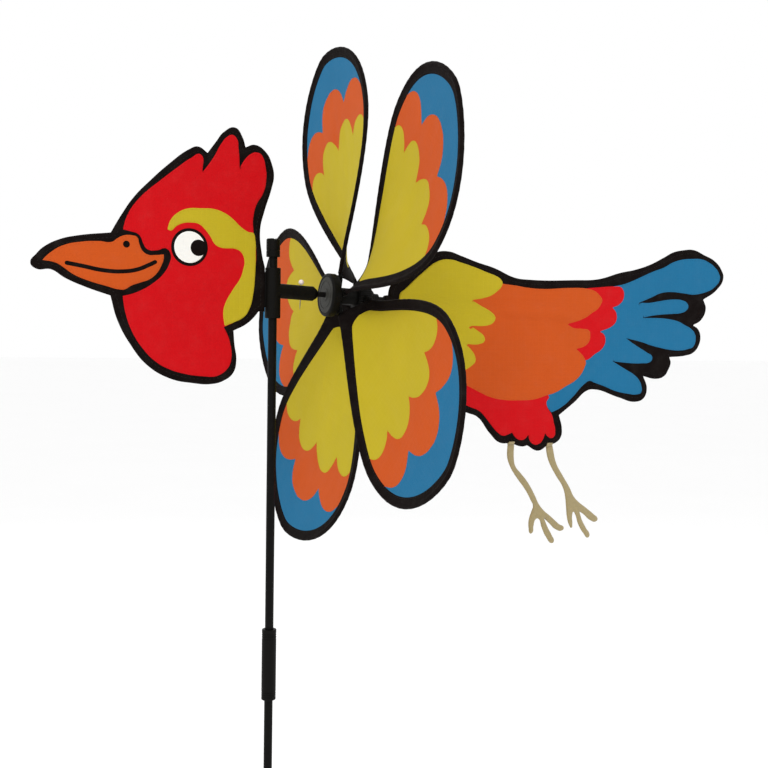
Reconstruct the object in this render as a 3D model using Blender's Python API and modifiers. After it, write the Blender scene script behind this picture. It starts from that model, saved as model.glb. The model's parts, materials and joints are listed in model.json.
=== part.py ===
"""A garden whirligig: a five-petal wind wheel behind a bird's head, on a two-piece pole.

The frame has its origin at the ground line, on the pole's axis.  +Z is up, +X runs from the
bird's head towards its tail, and -Y is the side that shows the bird facing left.
"""
import math

import bmesh
import bpy
from mathutils import Matrix, Vector

MM = 0.001                      # the lists of points below are in millimetres
GAP = 0.3 * MM                  # clearance between pieces that touch
OVERCUT = 0.030                 # how far a cutting shape runs on past what it cuts
MERGE_DISTANCE = 0.00001

# Facets round turned parts and rods
ROUND_STEPS = 24
DISC_STEPS = 32
ROD_STEPS = 16
SOCKET_STEPS = 12
PIN_STEPS = 8
PIN_HEAD_ARC_STEPS = 8

# Pole, two equal sections that meet inside a ferrule
SECTION_LENGTH = 0.400
POLE_RADIUS = 0.0040
GROUND_DEPTH = 0.150            # how much of the lower section is pushed into the ground
JOINT_HEIGHT = SECTION_LENGTH - GROUND_DEPTH
FERRULE_LENGTH = 0.067
FERRULE_RADIUS = 0.0068
TIP_LENGTH = 0.040
TIP_RADIUS = 0.0060
TIP_END_RADIUS = 0.0025

# Swivel tee that turns on the pole
TEE_ABOVE_JOINT = 0.352
TEE_HEIGHT = JOINT_HEIGHT + TEE_ABOVE_JOINT
TEE_RADIUS = 0.00725
TEE_TOP = 0.021
TEE_BOTTOM = -0.026
BORE_RADIUS = POLE_RADIUS + GAP
COUNTERBORE_RADIUS = 0.0060
COUNTERBORE_DEPTH = 0.006
SLEEVE_RADIUS = 0.0069
SLEEVE_END = 0.044
SLEEVE_CHAMFER = 0.004
FIN_LENGTH = 0.017
FIN_HALF_THICKNESS = 0.0009
FIN_LOW, FIN_HIGH = -0.016, 0.017
CAP_BOTTOM, CAP_TOP = 0.031, 0.048
CAP_RADIUS = 0.0064
CAP_WALL = 0.003
CAP_CHAMFER = 0.0012
CAP_GROOVE_RADIUS = 0.0016

# Spar: a thin rod along the bird's body, drooping a little towards the tail
SPAR_DROOP = math.radians(2.8)
SPAR_RADIUS = 0.0025
SPAR_START, SPAR_END = 0.008, 0.327
SPAR_BORE = SPAR_RADIUS + GAP

# Pin that locks the spar in the tee's sleeve
PIN_PLACE = 0.028
PIN_RADIUS = 0.00045
PIN_HOLE_RADIUS = 0.0009
PIN_HEAD_RADIUS = 0.0025
PIN_LENGTH = 0.026
PIN_POINT_LENGTH = 0.002
PIN_HEAD_HEIGHT = 0.0098

# Wheel, measured along the spar from the pole's axis
PETAL_COUNT = 5
DISC_FRONT, DISC_BACK = 0.053, 0.0617
DISC_RADIUS = 0.0206
DISC_CHAMFER = 0.001
BARREL_RADIUS = 0.0080
BARREL_FRONT, BARREL_BACK = 0.062, 0.1015
COLLAR_FRONT, COLLAR_BACK = 0.084, 0.098
COLLAR_RADIUS = 0.0125
FRONT_ROOT, REAR_ROOT = 0.0656, 0.0910
STOP_FRONT, STOP_BACK = 0.1018, 0.1080
STOP_RADIUS = 0.0050

# Petal outline, as two Bezier arcs from the hub to the widest place and on to the tip
ROOT_ANGLE = math.radians(28)
SOCKET_RADIUS = 0.0032
SOCKET_INNER, SOCKET_OUTER = 0.0065, 0.0195
ROD_START = 0.0125
ROOT_REACH = 0.019
ROOT_HANDLE = 0.029
WIDE_PLACE = 0.166
HALF_WIDTH = 0.0905
WIDE_HANDLE_IN, WIDE_HANDLE_OUT = 0.050, 0.073
PETAL_REACH = 0.264
TIP_HANDLE = 0.022
ROD_RADIUS = 0.0015
ROD_INSET = 0.0025              # from the petal's outer edge to the rod's middle
ARC_POINTS = 11
INSET_FADE = 3                  # points over which the inset grows from the root
SAIL_THICKNESS = 0.0010
SAIL_CLEARANCE = 0.0012
SAIL_EDGE = ROD_INSET + ROD_RADIUS + SAIL_CLEARANCE
SAIL_START = 0.030              # distance from the axis where the cloth begins
SAIL_TIP_WIDTH = 0.012
SAIL_ROWS = 16
SAIL_COLUMNS = 6

# Flat cloth panels
PANEL_THICKNESS = 0.004
PANEL_RESOLUTION = 3
POCKET_RADIUS = 0.0040
POCKET_START, POCKET_END = 0.128, 0.331
LEG_THICKNESS = 0.002
LEG_RESOLUTION = 2

# Outlines in the plane of the bird, in millimetres from the middle of the tee.
# Each point is x and z, and "corner" marks a sharp one.
HEAD_OUTLINE = [
    (-219, 17), (-214, 25), (-208, 31), (-195, 38), (-180, 42), (-151, 46, "corner"),
    (-143, 60), (-131, 78), (-116, 94), (-99, 110), (-81, 124), (-73, 127),
    (-64, 122, "corner"), (-56, 133), (-49, 142), (-38, 147), (-31, 139),
    (-28, 130, "corner"), (-19, 133), (-8, 127), (-2, 116), (0, 106), (-2, 95), (-9, 73),
    (-13, 56), (-11, 33), (-8, 21, "corner"), (-8, -20, "corner"), (-14, -20, "corner"),
    (-18, -25), (-26, -32), (-38, -38, "corner"), (-37, -50), (-35, -66), (-38, -77),
    (-47, -84), (-58, -87), (-77, -86), (-97, -82), (-118, -70), (-133, -52), (-145, -30),
    (-151, -9, "corner"), (-173, -2), (-190, 5), (-202, 12), (-214, 12),
]
BODY_OUTLINE = [
    (121, -2), (123, 4), (130, 8), (152, 27), (172, 42), (187, 44), (200, 41), (220, 35),
    (240, 30), (265, 21), (283, 19.5), (340, 21), (370, 23), (400, 31), (420, 35), (440, 41),
    (460, 50), (472, 56), (485, 59), (500, 60), (515, 55), (530, 49), (540, 40), (544, 30),
    (535, 16), (517, 5, "corner"), (521, -5), (515, -18), (504, -24, "corner"), (511, -28),
    (515, -37), (512, -48), (505, -55), (495, -58), (470, -60, "corner"), (472, -66),
    (468, -75), (463, -81), (452, -84), (433, -81, "corner"), (438, -94), (434, -105),
    (422, -109), (400, -104), (366, -95), (357, -97), (343, -108), (323, -122, "corner"),
    (327, -136), (326, -145), (320, -151), (310, -153, "corner"), (298, -159),
    (284, -153, "corner"), (278, -154), (264, -150, "corner"), (250, -149), (238, -139),
    (223, -122), (212, -118), (185, -108), (158, -84), (136, -48), (124, -18),
]
LEG_OUTLINES = {
    "leg_front": [
        (260, -152.5, "corner"), (260, -165), (264, -175), (270, -184), (283, -200),
        (290, -211), (293, -217), (291, -223), (288, -232), (288, -240), (290, -246),
        (293, -245), (294, -238), (297, -231), (300, -231), (304, -240), (310, -251),
        (318, -258), (320, -256), (317, -249), (312, -241), (307, -231, "corner"),
        (314, -237), (321, -243), (330, -245), (332, -242), (326, -238), (315, -229),
        (306, -222), (300, -215), (295, -206), (285, -191), (277, -182), (270, -174),
        (268, -166), (268, -152.5, "corner"),
    ],
    "leg_rear": [
        (307.5, -158, "corner"), (309, -164), (312, -172), (320, -185), (330, -199),
        (333, -208), (334.5, -220), (336, -232), (339, -240), (342, -243), (343, -239),
        (342.5, -230), (344, -226), (346, -228), (351, -240), (358, -250), (364, -255),
        (366, -252), (361, -244), (355, -234), (352, -226, "corner"), (357, -229),
        (366, -236), (374, -238), (376, -235), (371, -230), (360, -222), (350, -215),
        (344, -209), (339, -200), (330, -187), (321, -173), (315.5, -158, "corner"),
    ],
}


def clear_scene():
    for item in list(bpy.data.objects):
        bpy.data.objects.remove(item)


def new_collection(name):
    group = bpy.data.collections.new(name)
    bpy.context.scene.collection.children.link(group)
    return group


clear_scene()
PARTS = new_collection("whirligig")
CUTTERS = new_collection("cutters")


def material(name, colour, roughness, metallic=0.0):
    finish = bpy.data.materials.get(name) or bpy.data.materials.new(name)
    finish.use_nodes = True
    shader = finish.node_tree.nodes["Principled BSDF"]
    shader.inputs["Base Color"].default_value = (*colour, 1)
    shader.inputs["Roughness"].default_value = roughness
    shader.inputs["Metallic"].default_value = metallic
    return finish


def pole_black():
    return material("pole_black", (0.010, 0.009, 0.009), 0.45)


def black_plastic():
    return material("black_plastic", (0.012, 0.011, 0.010), 0.5)


def hub_grey():
    return material("hub_grey", (0.055, 0.055, 0.042), 0.5)


def black_cloth():
    return material("black_cloth", (0.012, 0.012, 0.012), 0.9)


def yellow_cloth():
    return material("yellow_cloth", (0.53, 0.43, 0.024), 0.8)


def tan_felt():
    return material("tan_felt", (0.37, 0.30, 0.17), 0.95)


def pin_steel():
    return material("pin_steel", (0.6, 0.58, 0.55), 0.3, 1.0)


def pearl():
    return material("pearl", (0.87, 0.78, 0.75), 0.25)


def axis_empty(name, parent=None, location=(0, 0, 0), rotation=(0, 0, 0)):
    empty = bpy.data.objects.new(name, None)
    empty.location = location
    empty.rotation_euler = rotation
    empty.parent = parent
    PARTS.objects.link(empty)
    return empty


def add_part(name, data, finish, parent=None, location=(0, 0, 0), rotation=(0, 0, 0)):
    part = bpy.data.objects.new(name, data)
    if not data.materials:
        data.materials.append(finish)
    part.location = location
    part.rotation_euler = rotation
    part.parent = parent
    PARTS.objects.link(part)
    return part


def add_cutter(name, mesh, parent=None):
    cutter = bpy.data.objects.new(name, mesh)
    cutter.parent = parent
    cutter.hide_render = True
    cutter.display_type = "WIRE"
    CUTTERS.objects.link(cutter)
    return cutter


def boolean(part, cutter, operation):
    step = part.modifiers.new(cutter.name, "BOOLEAN")
    step.operation = operation
    step.solver = "EXACT"
    step.object = cutter


def turned(name, profile, finish, parent=None, steps=ROUND_STEPS, location=(0, 0, 0)):
    """Turn a profile of (radius, height) points, top to bottom on its outer side, about Z.

    A profile that starts and ends off the axis is closed into a ring.
    """
    mesh = bpy.data.meshes.new(name)
    points = [(radius, 0, height) for radius, height in profile]
    edges = [(i, i + 1) for i in range(len(points) - 1)]
    if profile[0][0] > 0:
        edges.append((len(points) - 1, 0))
    mesh.from_pydata(points, edges, [])
    part = add_part(name, mesh, finish, parent, location)
    screw = part.modifiers.new("turn", "SCREW")
    screw.steps = steps
    screw.render_steps = steps
    screw.use_merge_vertices = True
    screw.merge_threshold = MERGE_DISTANCE
    screw.use_smooth_shade = True
    return part


def tube_profile(outer, inner, top, bottom):
    return [(inner, top), (outer, top), (outer, bottom), (inner, bottom)]


def rods_mesh(name, ends, radius, sides):
    """One mesh of straight round bars, each between two points."""
    mesh = bpy.data.meshes.new(name)
    cage = bmesh.new()
    for start, end in ends:
        start = Vector(start)
        span = Vector(end) - start
        turn = span.to_track_quat("Z", "Y").to_matrix().to_4x4()
        place = Matrix.Translation(start + span / 2) @ turn
        bmesh.ops.create_cone(cage, cap_ends=True, segments=sides, radius1=radius,
                              radius2=radius, depth=span.length, matrix=place)
    cage.to_mesh(mesh)
    cage.free()
    return mesh


def box_mesh(name, low, high):
    mesh = bpy.data.meshes.new(name)
    cage = bmesh.new()
    middle = (Vector(low) + Vector(high)) / 2
    size = Vector(high) - Vector(low)
    place = Matrix.Translation(middle) @ Matrix.Diagonal(size).to_4x4()
    bmesh.ops.create_cube(cage, size=1, matrix=place)
    cage.to_mesh(mesh)
    cage.free()
    return mesh


def plate_curve(name, outline, thickness, resolution):
    """A flat plate in the XZ plane from an outline in millimetres."""
    curve = bpy.data.curves.new(name, "CURVE")
    curve.dimensions = "2D"
    curve.fill_mode = "BOTH"
    curve.extrude = thickness / 2
    curve.resolution_u = resolution
    spline = curve.splines.new("BEZIER")
    spline.bezier_points.add(len(outline) - 1)
    spline.use_cyclic_u = True
    for knot, place in zip(spline.bezier_points, outline):
        knot.co = (place[0] * MM, place[1] * MM, 0)
        kind = "VECTOR" if "corner" in place else "AUTO"
        knot.handle_left_type = kind
        knot.handle_right_type = kind
    return curve


def as_mesh(name, curve, matrix):
    """The curve as a welded mesh, turned by the matrix."""
    holder = bpy.data.objects.new(name, curve)
    PARTS.objects.link(holder)
    bpy.context.view_layer.update()
    graph = bpy.context.evaluated_depsgraph_get()
    mesh = bpy.data.meshes.new_from_object(holder.evaluated_get(graph))
    bpy.data.objects.remove(holder)
    cage = bmesh.new()
    cage.from_mesh(mesh)
    bmesh.ops.remove_doubles(cage, verts=cage.verts, dist=MERGE_DISTANCE)
    bmesh.ops.transform(cage, matrix=matrix, verts=cage.verts)
    cage.to_mesh(mesh)
    cage.free()
    return mesh


STAND_UP = Matrix.Rotation(math.pi / 2, 4, "X")      # lays the XY plane of a curve in XZ


def bezier(start, handle_out, handle_in, end, t):
    rest = 1 - t
    return (start * rest ** 3 + handle_out * 3 * rest ** 2 * t
            + handle_in * 3 * rest * t ** 2 + end * t ** 3)


def half_petal():
    """Points (reach, half width) along one side of a petal, from the hub to its tip."""
    direction = Vector((math.cos(ROOT_ANGLE), math.sin(ROOT_ANGLE)))
    root = direction * ROOT_REACH
    wide = Vector((WIDE_PLACE, HALF_WIDTH))
    tip = Vector((PETAL_REACH, 0))
    arcs = [
        (root, root + direction * ROOT_HANDLE, wide - Vector((WIDE_HANDLE_IN, 0)), wide),
        (wide, wide + Vector((WIDE_HANDLE_OUT, 0)), tip + Vector((0, TIP_HANDLE)), tip),
    ]
    points = [bezier(*arcs[0], i / ARC_POINTS) for i in range(ARC_POINTS)]
    points += [bezier(*arcs[1], i / ARC_POINTS) for i in range(ARC_POINTS + 1)]
    return points


def inset(points, distance):
    """The same line moved inwards, towards the petal's middle, from nothing at its root."""
    moved = []
    for i, point in enumerate(points):
        ahead = points[min(i + 1, len(points) - 1)]
        behind = points[max(i - 1, 0)]
        along = (ahead - behind).normalized()
        if i == len(points) - 1:
            along = Vector((0, -1))
        share = min(i / INSET_FADE, 1)
        moved.append(point + Vector((along.y, -along.x)) * distance * share)
    return moved


def path_shares(points):
    """How far along the whole loop each point of one side is, from 0 at the front root."""
    lengths = [0.0]
    for a, b in zip(points, points[1:]):
        lengths.append(lengths[-1] + (b - a).length)
    return [length / lengths[-1] / 2 for length in lengths]


def petal_point(reach, width, share):
    """A petal's point in the wheel's frame: Z along the spar, Y out along the petal."""
    return Vector((-width, reach, FRONT_ROOT + (REAR_ROOT - FRONT_ROOT) * share))


def petal_rod_curve():
    side = inset(half_petal(), ROD_INSET)
    shares = path_shares(side)
    loop = [petal_point(p.x, p.y, s) for p, s in zip(side, shares)]
    loop += [petal_point(p.x, -p.y, 1 - s) for p, s in zip(side[-2::-1], shares[-2::-1])]
    direction = Vector((-math.sin(ROOT_ANGLE), math.cos(ROOT_ANGLE), 0)) * ROD_START
    mirrored = Vector((-direction.x, direction.y, 0))
    loop.insert(0, direction + Vector((0, 0, FRONT_ROOT)))
    loop.append(mirrored + Vector((0, 0, REAR_ROOT)))
    curve = bpy.data.curves.new("petal_rod", "CURVE")
    curve.dimensions = "3D"
    curve.bevel_depth = ROD_RADIUS
    curve.bevel_resolution = 2
    curve.use_fill_caps = True
    spline = curve.splines.new("POLY")
    spline.points.add(len(loop) - 1)
    for knot, place in zip(spline.points, loop):
        knot.co = (*place, 1)
    return curve


def sail_rows():
    """(reach, half width, share) for each row of the cloth, evenly spaced along the petal."""
    side = inset(half_petal(), SAIL_EDGE)
    shares = path_shares(side)
    usable = [(p.x, p.y, s) for p, s in zip(side, shares)
              if p.x >= SAIL_START and p.y >= SAIL_TIP_WIDTH / 2]
    rows = []
    for i in range(SAIL_ROWS + 1):
        place = i / SAIL_ROWS * (len(usable) - 1)
        low = min(int(place), len(usable) - 2)
        part = place - low
        rows.append([a + (b - a) * part for a, b in zip(usable[low], usable[low + 1])])
    return rows


def petal_sail_mesh():
    rows = sail_rows()
    mesh = bpy.data.meshes.new("petal_sail")
    cage = bmesh.new()
    bmesh.ops.create_grid(cage, x_segments=SAIL_COLUMNS, y_segments=SAIL_ROWS, size=1)
    for vert in cage.verts:
        across = vert.co.x
        reach, width, share = rows[round((vert.co.y + 1) / 2 * SAIL_ROWS)]
        twist = 0.5 + (share - 0.5) * across
        vert.co = petal_point(reach, width * across, twist)
    bmesh.ops.recalc_face_normals(cage, faces=cage.faces)
    cage.to_mesh(mesh)
    cage.free()
    return mesh


def build_pole():
    lower_top = JOINT_HEIGHT - GAP
    turned("lower_pole", [(0, lower_top), (POLE_RADIUS, lower_top),
                          (POLE_RADIUS, -GROUND_DEPTH), (0, -GROUND_DEPTH)], pole_black())
    tip_top = -GROUND_DEPTH + TIP_LENGTH / 2
    tip_end = -GROUND_DEPTH - TIP_LENGTH / 2
    seat = -GROUND_DEPTH - GAP
    turned("ground_tip", [(BORE_RADIUS, tip_top), (TIP_RADIUS, tip_top), (TIP_RADIUS, seat),
                          (TIP_END_RADIUS, tip_end), (0, tip_end), (0, seat),
                          (BORE_RADIUS, seat)], black_plastic())
    turned("pole_ferrule", tube_profile(FERRULE_RADIUS, BORE_RADIUS,
                                        JOINT_HEIGHT + FERRULE_LENGTH / 2,
                                        JOINT_HEIGHT - FERRULE_LENGTH / 2), black_plastic())
    pole_top = TEE_HEIGHT + CAP_TOP - CAP_WALL - GAP
    joint = JOINT_HEIGHT + GAP
    turned("upper_pole", [(0, pole_top), (POLE_RADIUS, pole_top), (POLE_RADIUS, joint),
                          (0, joint)], pole_black())


def build_pole_cap():
    top = CAP_TOP
    inside = CAP_TOP - CAP_WALL
    cap = turned("pole_cap", [(0, top), (CAP_RADIUS - CAP_CHAMFER, top),
                              (CAP_RADIUS, top - CAP_CHAMFER), (CAP_RADIUS, CAP_BOTTOM),
                              (BORE_RADIUS, CAP_BOTTOM), (BORE_RADIUS, inside), (0, inside)],
                 black_plastic(), location=(0, 0, TEE_HEIGHT))
    height = TEE_HEIGHT + CAP_TOP
    groove = rods_mesh("cap_groove", [((0, -OVERCUT, height), (0, OVERCUT, height))],
                       CAP_GROOVE_RADIUS, SOCKET_STEPS)
    boolean(cap, add_cutter("cap_groove_cutter", groove), "DIFFERENCE")


def build_stop_ring():
    top = TEE_BOTTOM + COUNTERBORE_DEPTH - GAP
    turned("stop_ring", tube_profile(COUNTERBORE_RADIUS - GAP, BORE_RADIUS, top, TEE_BOTTOM),
           black_plastic(), location=(0, 0, TEE_HEIGHT))


def build_tee(vane, spar_axis):
    shoulder = TEE_BOTTOM + COUNTERBORE_DEPTH
    solid = [(0, TEE_TOP), (TEE_RADIUS, TEE_TOP), (TEE_RADIUS, TEE_BOTTOM), (0, TEE_BOTTOM)]
    tee = turned("swivel_tee", solid, black_plastic(), vane)
    sleeve = bpy.data.meshes.new("sleeve")
    cage = bmesh.new()
    straight = SLEEVE_END - SLEEVE_CHAMFER
    bmesh.ops.create_cone(cage, cap_ends=True, segments=ROUND_STEPS, radius1=SLEEVE_RADIUS,
                          radius2=SLEEVE_RADIUS, depth=straight,
                          matrix=Matrix.Translation((0, 0, straight / 2)))
    bmesh.ops.bevel(cage, geom=[e for e in cage.edges if min(v.co.z for v in e.verts)
                                > straight - GAP], offset=SLEEVE_CHAMFER / 2,
                    segments=1, affect="EDGES")
    cage.to_mesh(sleeve)
    cage.free()
    boolean(tee, add_cutter("tee_sleeve", sleeve, spar_axis), "UNION")
    fin = box_mesh("fin", (-FIN_LENGTH, -FIN_HALF_THICKNESS, FIN_LOW),
                   (0, FIN_HALF_THICKNESS, FIN_HIGH))
    boolean(tee, add_cutter("tee_fin", fin, vane), "UNION")
    bore = rods_mesh("bore", [((0, 0, TEE_BOTTOM - OVERCUT), (0, 0, TEE_TOP + OVERCUT))],
                     BORE_RADIUS, ROUND_STEPS)
    boolean(tee, add_cutter("tee_bore", bore, vane), "DIFFERENCE")
    counterbore = rods_mesh("counterbore", [((0, 0, TEE_BOTTOM - OVERCUT), (0, 0, shoulder))],
                            COUNTERBORE_RADIUS, ROUND_STEPS)
    boolean(tee, add_cutter("tee_counterbore", counterbore, vane), "DIFFERENCE")
    socket = rods_mesh("socket", [((0, 0, SPAR_START - GAP), (0, 0, SLEEVE_END + OVERCUT))],
                       SPAR_BORE, ROUND_STEPS)
    boolean(tee, add_cutter("tee_socket", socket, spar_axis), "DIFFERENCE")
    boolean(tee, pin_hole(spar_axis), "DIFFERENCE")


def pin_hole(spar_axis):
    hole = bpy.data.objects.get("pin_hole")
    if hole:
        return hole
    mesh = rods_mesh("pin_hole", [((-OVERCUT, 0, PIN_PLACE), (OVERCUT, 0, PIN_PLACE))],
                     PIN_HOLE_RADIUS, PIN_STEPS)
    return add_cutter("pin_hole", mesh, spar_axis)


def build_spar(spar_axis):
    mesh = rods_mesh("spar", [((0, 0, SPAR_START), (0, 0, SPAR_END))], SPAR_RADIUS, ROD_STEPS)
    spar = add_part("spar", mesh, black_plastic(), spar_axis)
    boolean(spar, pin_hole(spar_axis), "DIFFERENCE")
    turned("spar_stop", tube_profile(STOP_RADIUS, SPAR_BORE, STOP_BACK, STOP_FRONT),
           black_plastic(), spar_axis, steps=ROD_STEPS)


def build_pin(spar_axis):
    """The pin stands across the spar, so its frame's Z points up through the sleeve."""
    frame = axis_empty("pin_axis", spar_axis, (0, 0, PIN_PLACE), (0, -math.pi / 2, 0))
    centre = PIN_HEAD_HEIGHT
    neck = centre - PIN_HEAD_RADIUS
    head = [(0, centre + PIN_HEAD_RADIUS)]
    for i in range(1, PIN_HEAD_ARC_STEPS):
        angle = math.pi / 2 - math.pi * i / PIN_HEAD_ARC_STEPS
        head.append((PIN_HEAD_RADIUS * math.cos(angle),
                     centre + PIN_HEAD_RADIUS * math.sin(angle)))
    head.append((0, neck))
    turned("pin_head", head, pearl(), frame, steps=ROD_STEPS)
    low = centre - PIN_LENGTH
    turned("pin_shaft", [(0, neck - GAP), (PIN_RADIUS, neck - GAP),
                         (PIN_RADIUS, low + PIN_POINT_LENGTH), (0, low)],
           pin_steel(), frame, steps=PIN_STEPS)


def build_hub(wheel_axis):
    edge = DISC_RADIUS - DISC_CHAMFER
    turned("hub_front_disc", [
        (SPAR_BORE, DISC_BACK), (DISC_RADIUS, DISC_BACK),
        (DISC_RADIUS, DISC_FRONT + DISC_CHAMFER), (edge, DISC_FRONT), (SPAR_BORE, DISC_FRONT),
    ], hub_grey(), wheel_axis, steps=DISC_STEPS)
    hub = turned("hub_barrel", [
        (SPAR_BORE, BARREL_BACK), (BARREL_RADIUS, BARREL_BACK), (BARREL_RADIUS, COLLAR_BACK),
        (COLLAR_RADIUS, COLLAR_BACK), (COLLAR_RADIUS, COLLAR_FRONT),
        (BARREL_RADIUS, COLLAR_FRONT), (BARREL_RADIUS, BARREL_FRONT), (SPAR_BORE, BARREL_FRONT),
    ], black_plastic(), wheel_axis)
    sockets, holes = [], []
    for i in range(PETAL_COUNT):
        for side, height in ((ROOT_ANGLE, FRONT_ROOT), (-ROOT_ANGLE, REAR_ROOT)):
            angle = 2 * math.pi * i / PETAL_COUNT + side
            out = Vector((-math.sin(angle), math.cos(angle), 0))
            lift = Vector((0, 0, height))
            sockets.append((out * SOCKET_INNER + lift, out * SOCKET_OUTER + lift))
            holes.append((out * (ROD_START - GAP) + lift, out * (SOCKET_OUTER + OVERCUT) + lift))
    joined = rods_mesh("hub_sockets", sockets, SOCKET_RADIUS, SOCKET_STEPS)
    boolean(hub, add_cutter("hub_sockets", joined, wheel_axis), "UNION")
    bored = rods_mesh("hub_holes", holes, ROD_RADIUS + GAP, SOCKET_STEPS)
    boolean(hub, add_cutter("hub_holes", bored, wheel_axis), "DIFFERENCE")


def build_petals(wheel_axis):
    rod = petal_rod_curve()
    sail = petal_sail_mesh()
    for i in range(PETAL_COUNT):
        turn = (0, 0, 2 * math.pi * i / PETAL_COUNT)
        add_part(f"petal_rod_{i + 1}", rod, black_plastic(), wheel_axis, rotation=turn)
        cloth = add_part(f"petal_sail_{i + 1}", sail, yellow_cloth(), wheel_axis, rotation=turn)
        shell = cloth.modifiers.new("thickness", "SOLIDIFY")
        shell.thickness = SAIL_THICKNESS
        shell.offset = 0


def build_head(vane):
    curve = plate_curve("head_outline", HEAD_OUTLINE, PANEL_THICKNESS, PANEL_RESOLUTION)
    head = add_part("head_panel", as_mesh("head_panel", curve, STAND_UP), black_cloth(), vane)
    slot = box_mesh("fin_slot", (-FIN_LENGTH - GAP, -FIN_HALF_THICKNESS - GAP, FIN_LOW - GAP),
                    (0, FIN_HALF_THICKNESS + GAP, FIN_HIGH + GAP))
    boolean(head, add_cutter("fin_slot", slot, vane), "DIFFERENCE")


def build_body(vane, spar_axis):
    curve = plate_curve("body_outline", BODY_OUTLINE, PANEL_THICKNESS, PANEL_RESOLUTION)
    body = add_part("body_panel", as_mesh("body_panel", curve, STAND_UP), black_cloth(), vane)
    pocket = rods_mesh("pocket", [((0, 0, POCKET_START), (0, 0, POCKET_END))],
                       POCKET_RADIUS, ROD_STEPS)
    boolean(body, add_cutter("spar_pocket", pocket, spar_axis), "UNION")
    tunnel = rods_mesh("tunnel", [((0, 0, POCKET_START - OVERCUT), (0, 0, SPAR_END + GAP))],
                       SPAR_BORE, ROD_STEPS)
    boolean(body, add_cutter("spar_tunnel", tunnel, spar_axis), "DIFFERENCE")


def build_legs(vane):
    """Each leg hangs from the middle of its top edge, the outline's first and last points."""
    for name, outline in LEG_OUTLINES.items():
        curve = plate_curve(name, outline, LEG_THICKNESS, LEG_RESOLUTION)
        top = (outline[0][0] + outline[-1][0]) / 2
        hip = Vector((top * MM, 0, outline[0][1] * MM))
        mesh = as_mesh(name, curve, Matrix.Translation(-hip) @ STAND_UP)
        add_part(name, mesh, tan_felt(), vane, location=hip)


def main():
    vane = axis_empty("vane_axis", location=(0, 0, TEE_HEIGHT))
    along_spar = (0, math.pi / 2 + SPAR_DROOP, 0)
    spar_axis = axis_empty("spar_axis", vane, rotation=along_spar)
    wheel_axis = axis_empty("wheel_axis", vane, rotation=along_spar)
    build_pole()
    build_pole_cap()
    build_stop_ring()
    build_tee(vane, spar_axis)
    build_spar(spar_axis)
    build_pin(spar_axis)
    build_hub(wheel_axis)
    build_petals(wheel_axis)
    build_head(vane)
    build_body(vane, spar_axis)
    build_legs(vane)


main()
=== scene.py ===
"""The looks of the cloth bird whirligig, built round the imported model."""
import json
import math

import bmesh
import bpy
import numpy as np
from mathutils import Matrix, Vector, noise
from mathutils.geometry import delaunay_2d_cdt


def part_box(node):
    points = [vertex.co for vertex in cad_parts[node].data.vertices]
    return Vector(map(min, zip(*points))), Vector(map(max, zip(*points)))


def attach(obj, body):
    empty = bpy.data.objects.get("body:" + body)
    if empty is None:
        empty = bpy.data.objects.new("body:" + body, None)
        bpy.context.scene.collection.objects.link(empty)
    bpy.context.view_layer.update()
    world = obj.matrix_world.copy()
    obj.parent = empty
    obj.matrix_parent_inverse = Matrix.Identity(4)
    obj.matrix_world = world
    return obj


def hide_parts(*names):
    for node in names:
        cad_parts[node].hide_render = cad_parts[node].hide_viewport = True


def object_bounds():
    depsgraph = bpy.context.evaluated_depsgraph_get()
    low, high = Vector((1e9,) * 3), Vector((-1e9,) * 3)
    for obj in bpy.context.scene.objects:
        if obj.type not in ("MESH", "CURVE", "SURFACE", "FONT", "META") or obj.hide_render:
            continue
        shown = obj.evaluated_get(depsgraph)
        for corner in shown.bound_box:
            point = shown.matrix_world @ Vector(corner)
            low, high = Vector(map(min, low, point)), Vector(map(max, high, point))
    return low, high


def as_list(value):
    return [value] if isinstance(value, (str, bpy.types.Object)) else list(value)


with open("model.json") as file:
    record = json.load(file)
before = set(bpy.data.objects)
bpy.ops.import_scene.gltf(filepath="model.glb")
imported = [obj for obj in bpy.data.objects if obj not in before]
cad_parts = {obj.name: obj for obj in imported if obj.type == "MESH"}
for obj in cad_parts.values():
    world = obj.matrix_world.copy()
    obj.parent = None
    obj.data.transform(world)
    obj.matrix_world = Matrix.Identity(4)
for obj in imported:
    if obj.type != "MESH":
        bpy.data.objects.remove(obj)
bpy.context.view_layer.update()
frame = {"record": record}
JOINTS = {joint["name"]: joint for joint in frame["record"]["behaviour"]["joints"]}

MM = 0.001                       # outlines and patterns are in millimetres, all else in metres
TEE = Vector(JOINTS["vane_yaw"]["pos_m"])
SPAR = Vector(JOINTS["wheel_spin"]["axis"]).normalized()
DOWN = Vector((0, 1, 0)).cross(SPAR)
SPAR_FRAME = Matrix.Translation(TEE) @ Matrix((DOWN, (0, 1, 0), SPAR)).transposed().to_4x4()
SHARP = math.radians(32)         # edges that turn more than this stay sharp

# Petals, with the sizes that the frame has
PETALS = 5
ROOT_ANGLE = math.radians(28)
ROOT_REACH, ROOT_HANDLE = 0.019, 0.029
WIDE_PLACE, HALF_WIDTH = 0.166, 0.0905
WIDE_HANDLE_IN, WIDE_HANDLE_OUT = 0.050, 0.073
PETAL_REACH, TIP_HANDLE = 0.264, 0.022
FRONT_ROOT, REAR_ROOT = 0.0656, 0.0910
ROD_INSET, ROD_RADIUS, ROD_START, ROD_SIDES = 0.0025, 0.0015, 0.0125, 16
ARC_POINTS = 40
INSET_FADE = 3 / 11              # share of the first arc over which the inset grows
# How each petal's rods lean: degrees round the hub, and metres along the spar at the tip
LEANS = [(-7.6, 0.0059), (-2.5, -0.0040), (-3.3, -0.0084), (-2.4, -0.0012), (6.1, -0.0117)]

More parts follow.
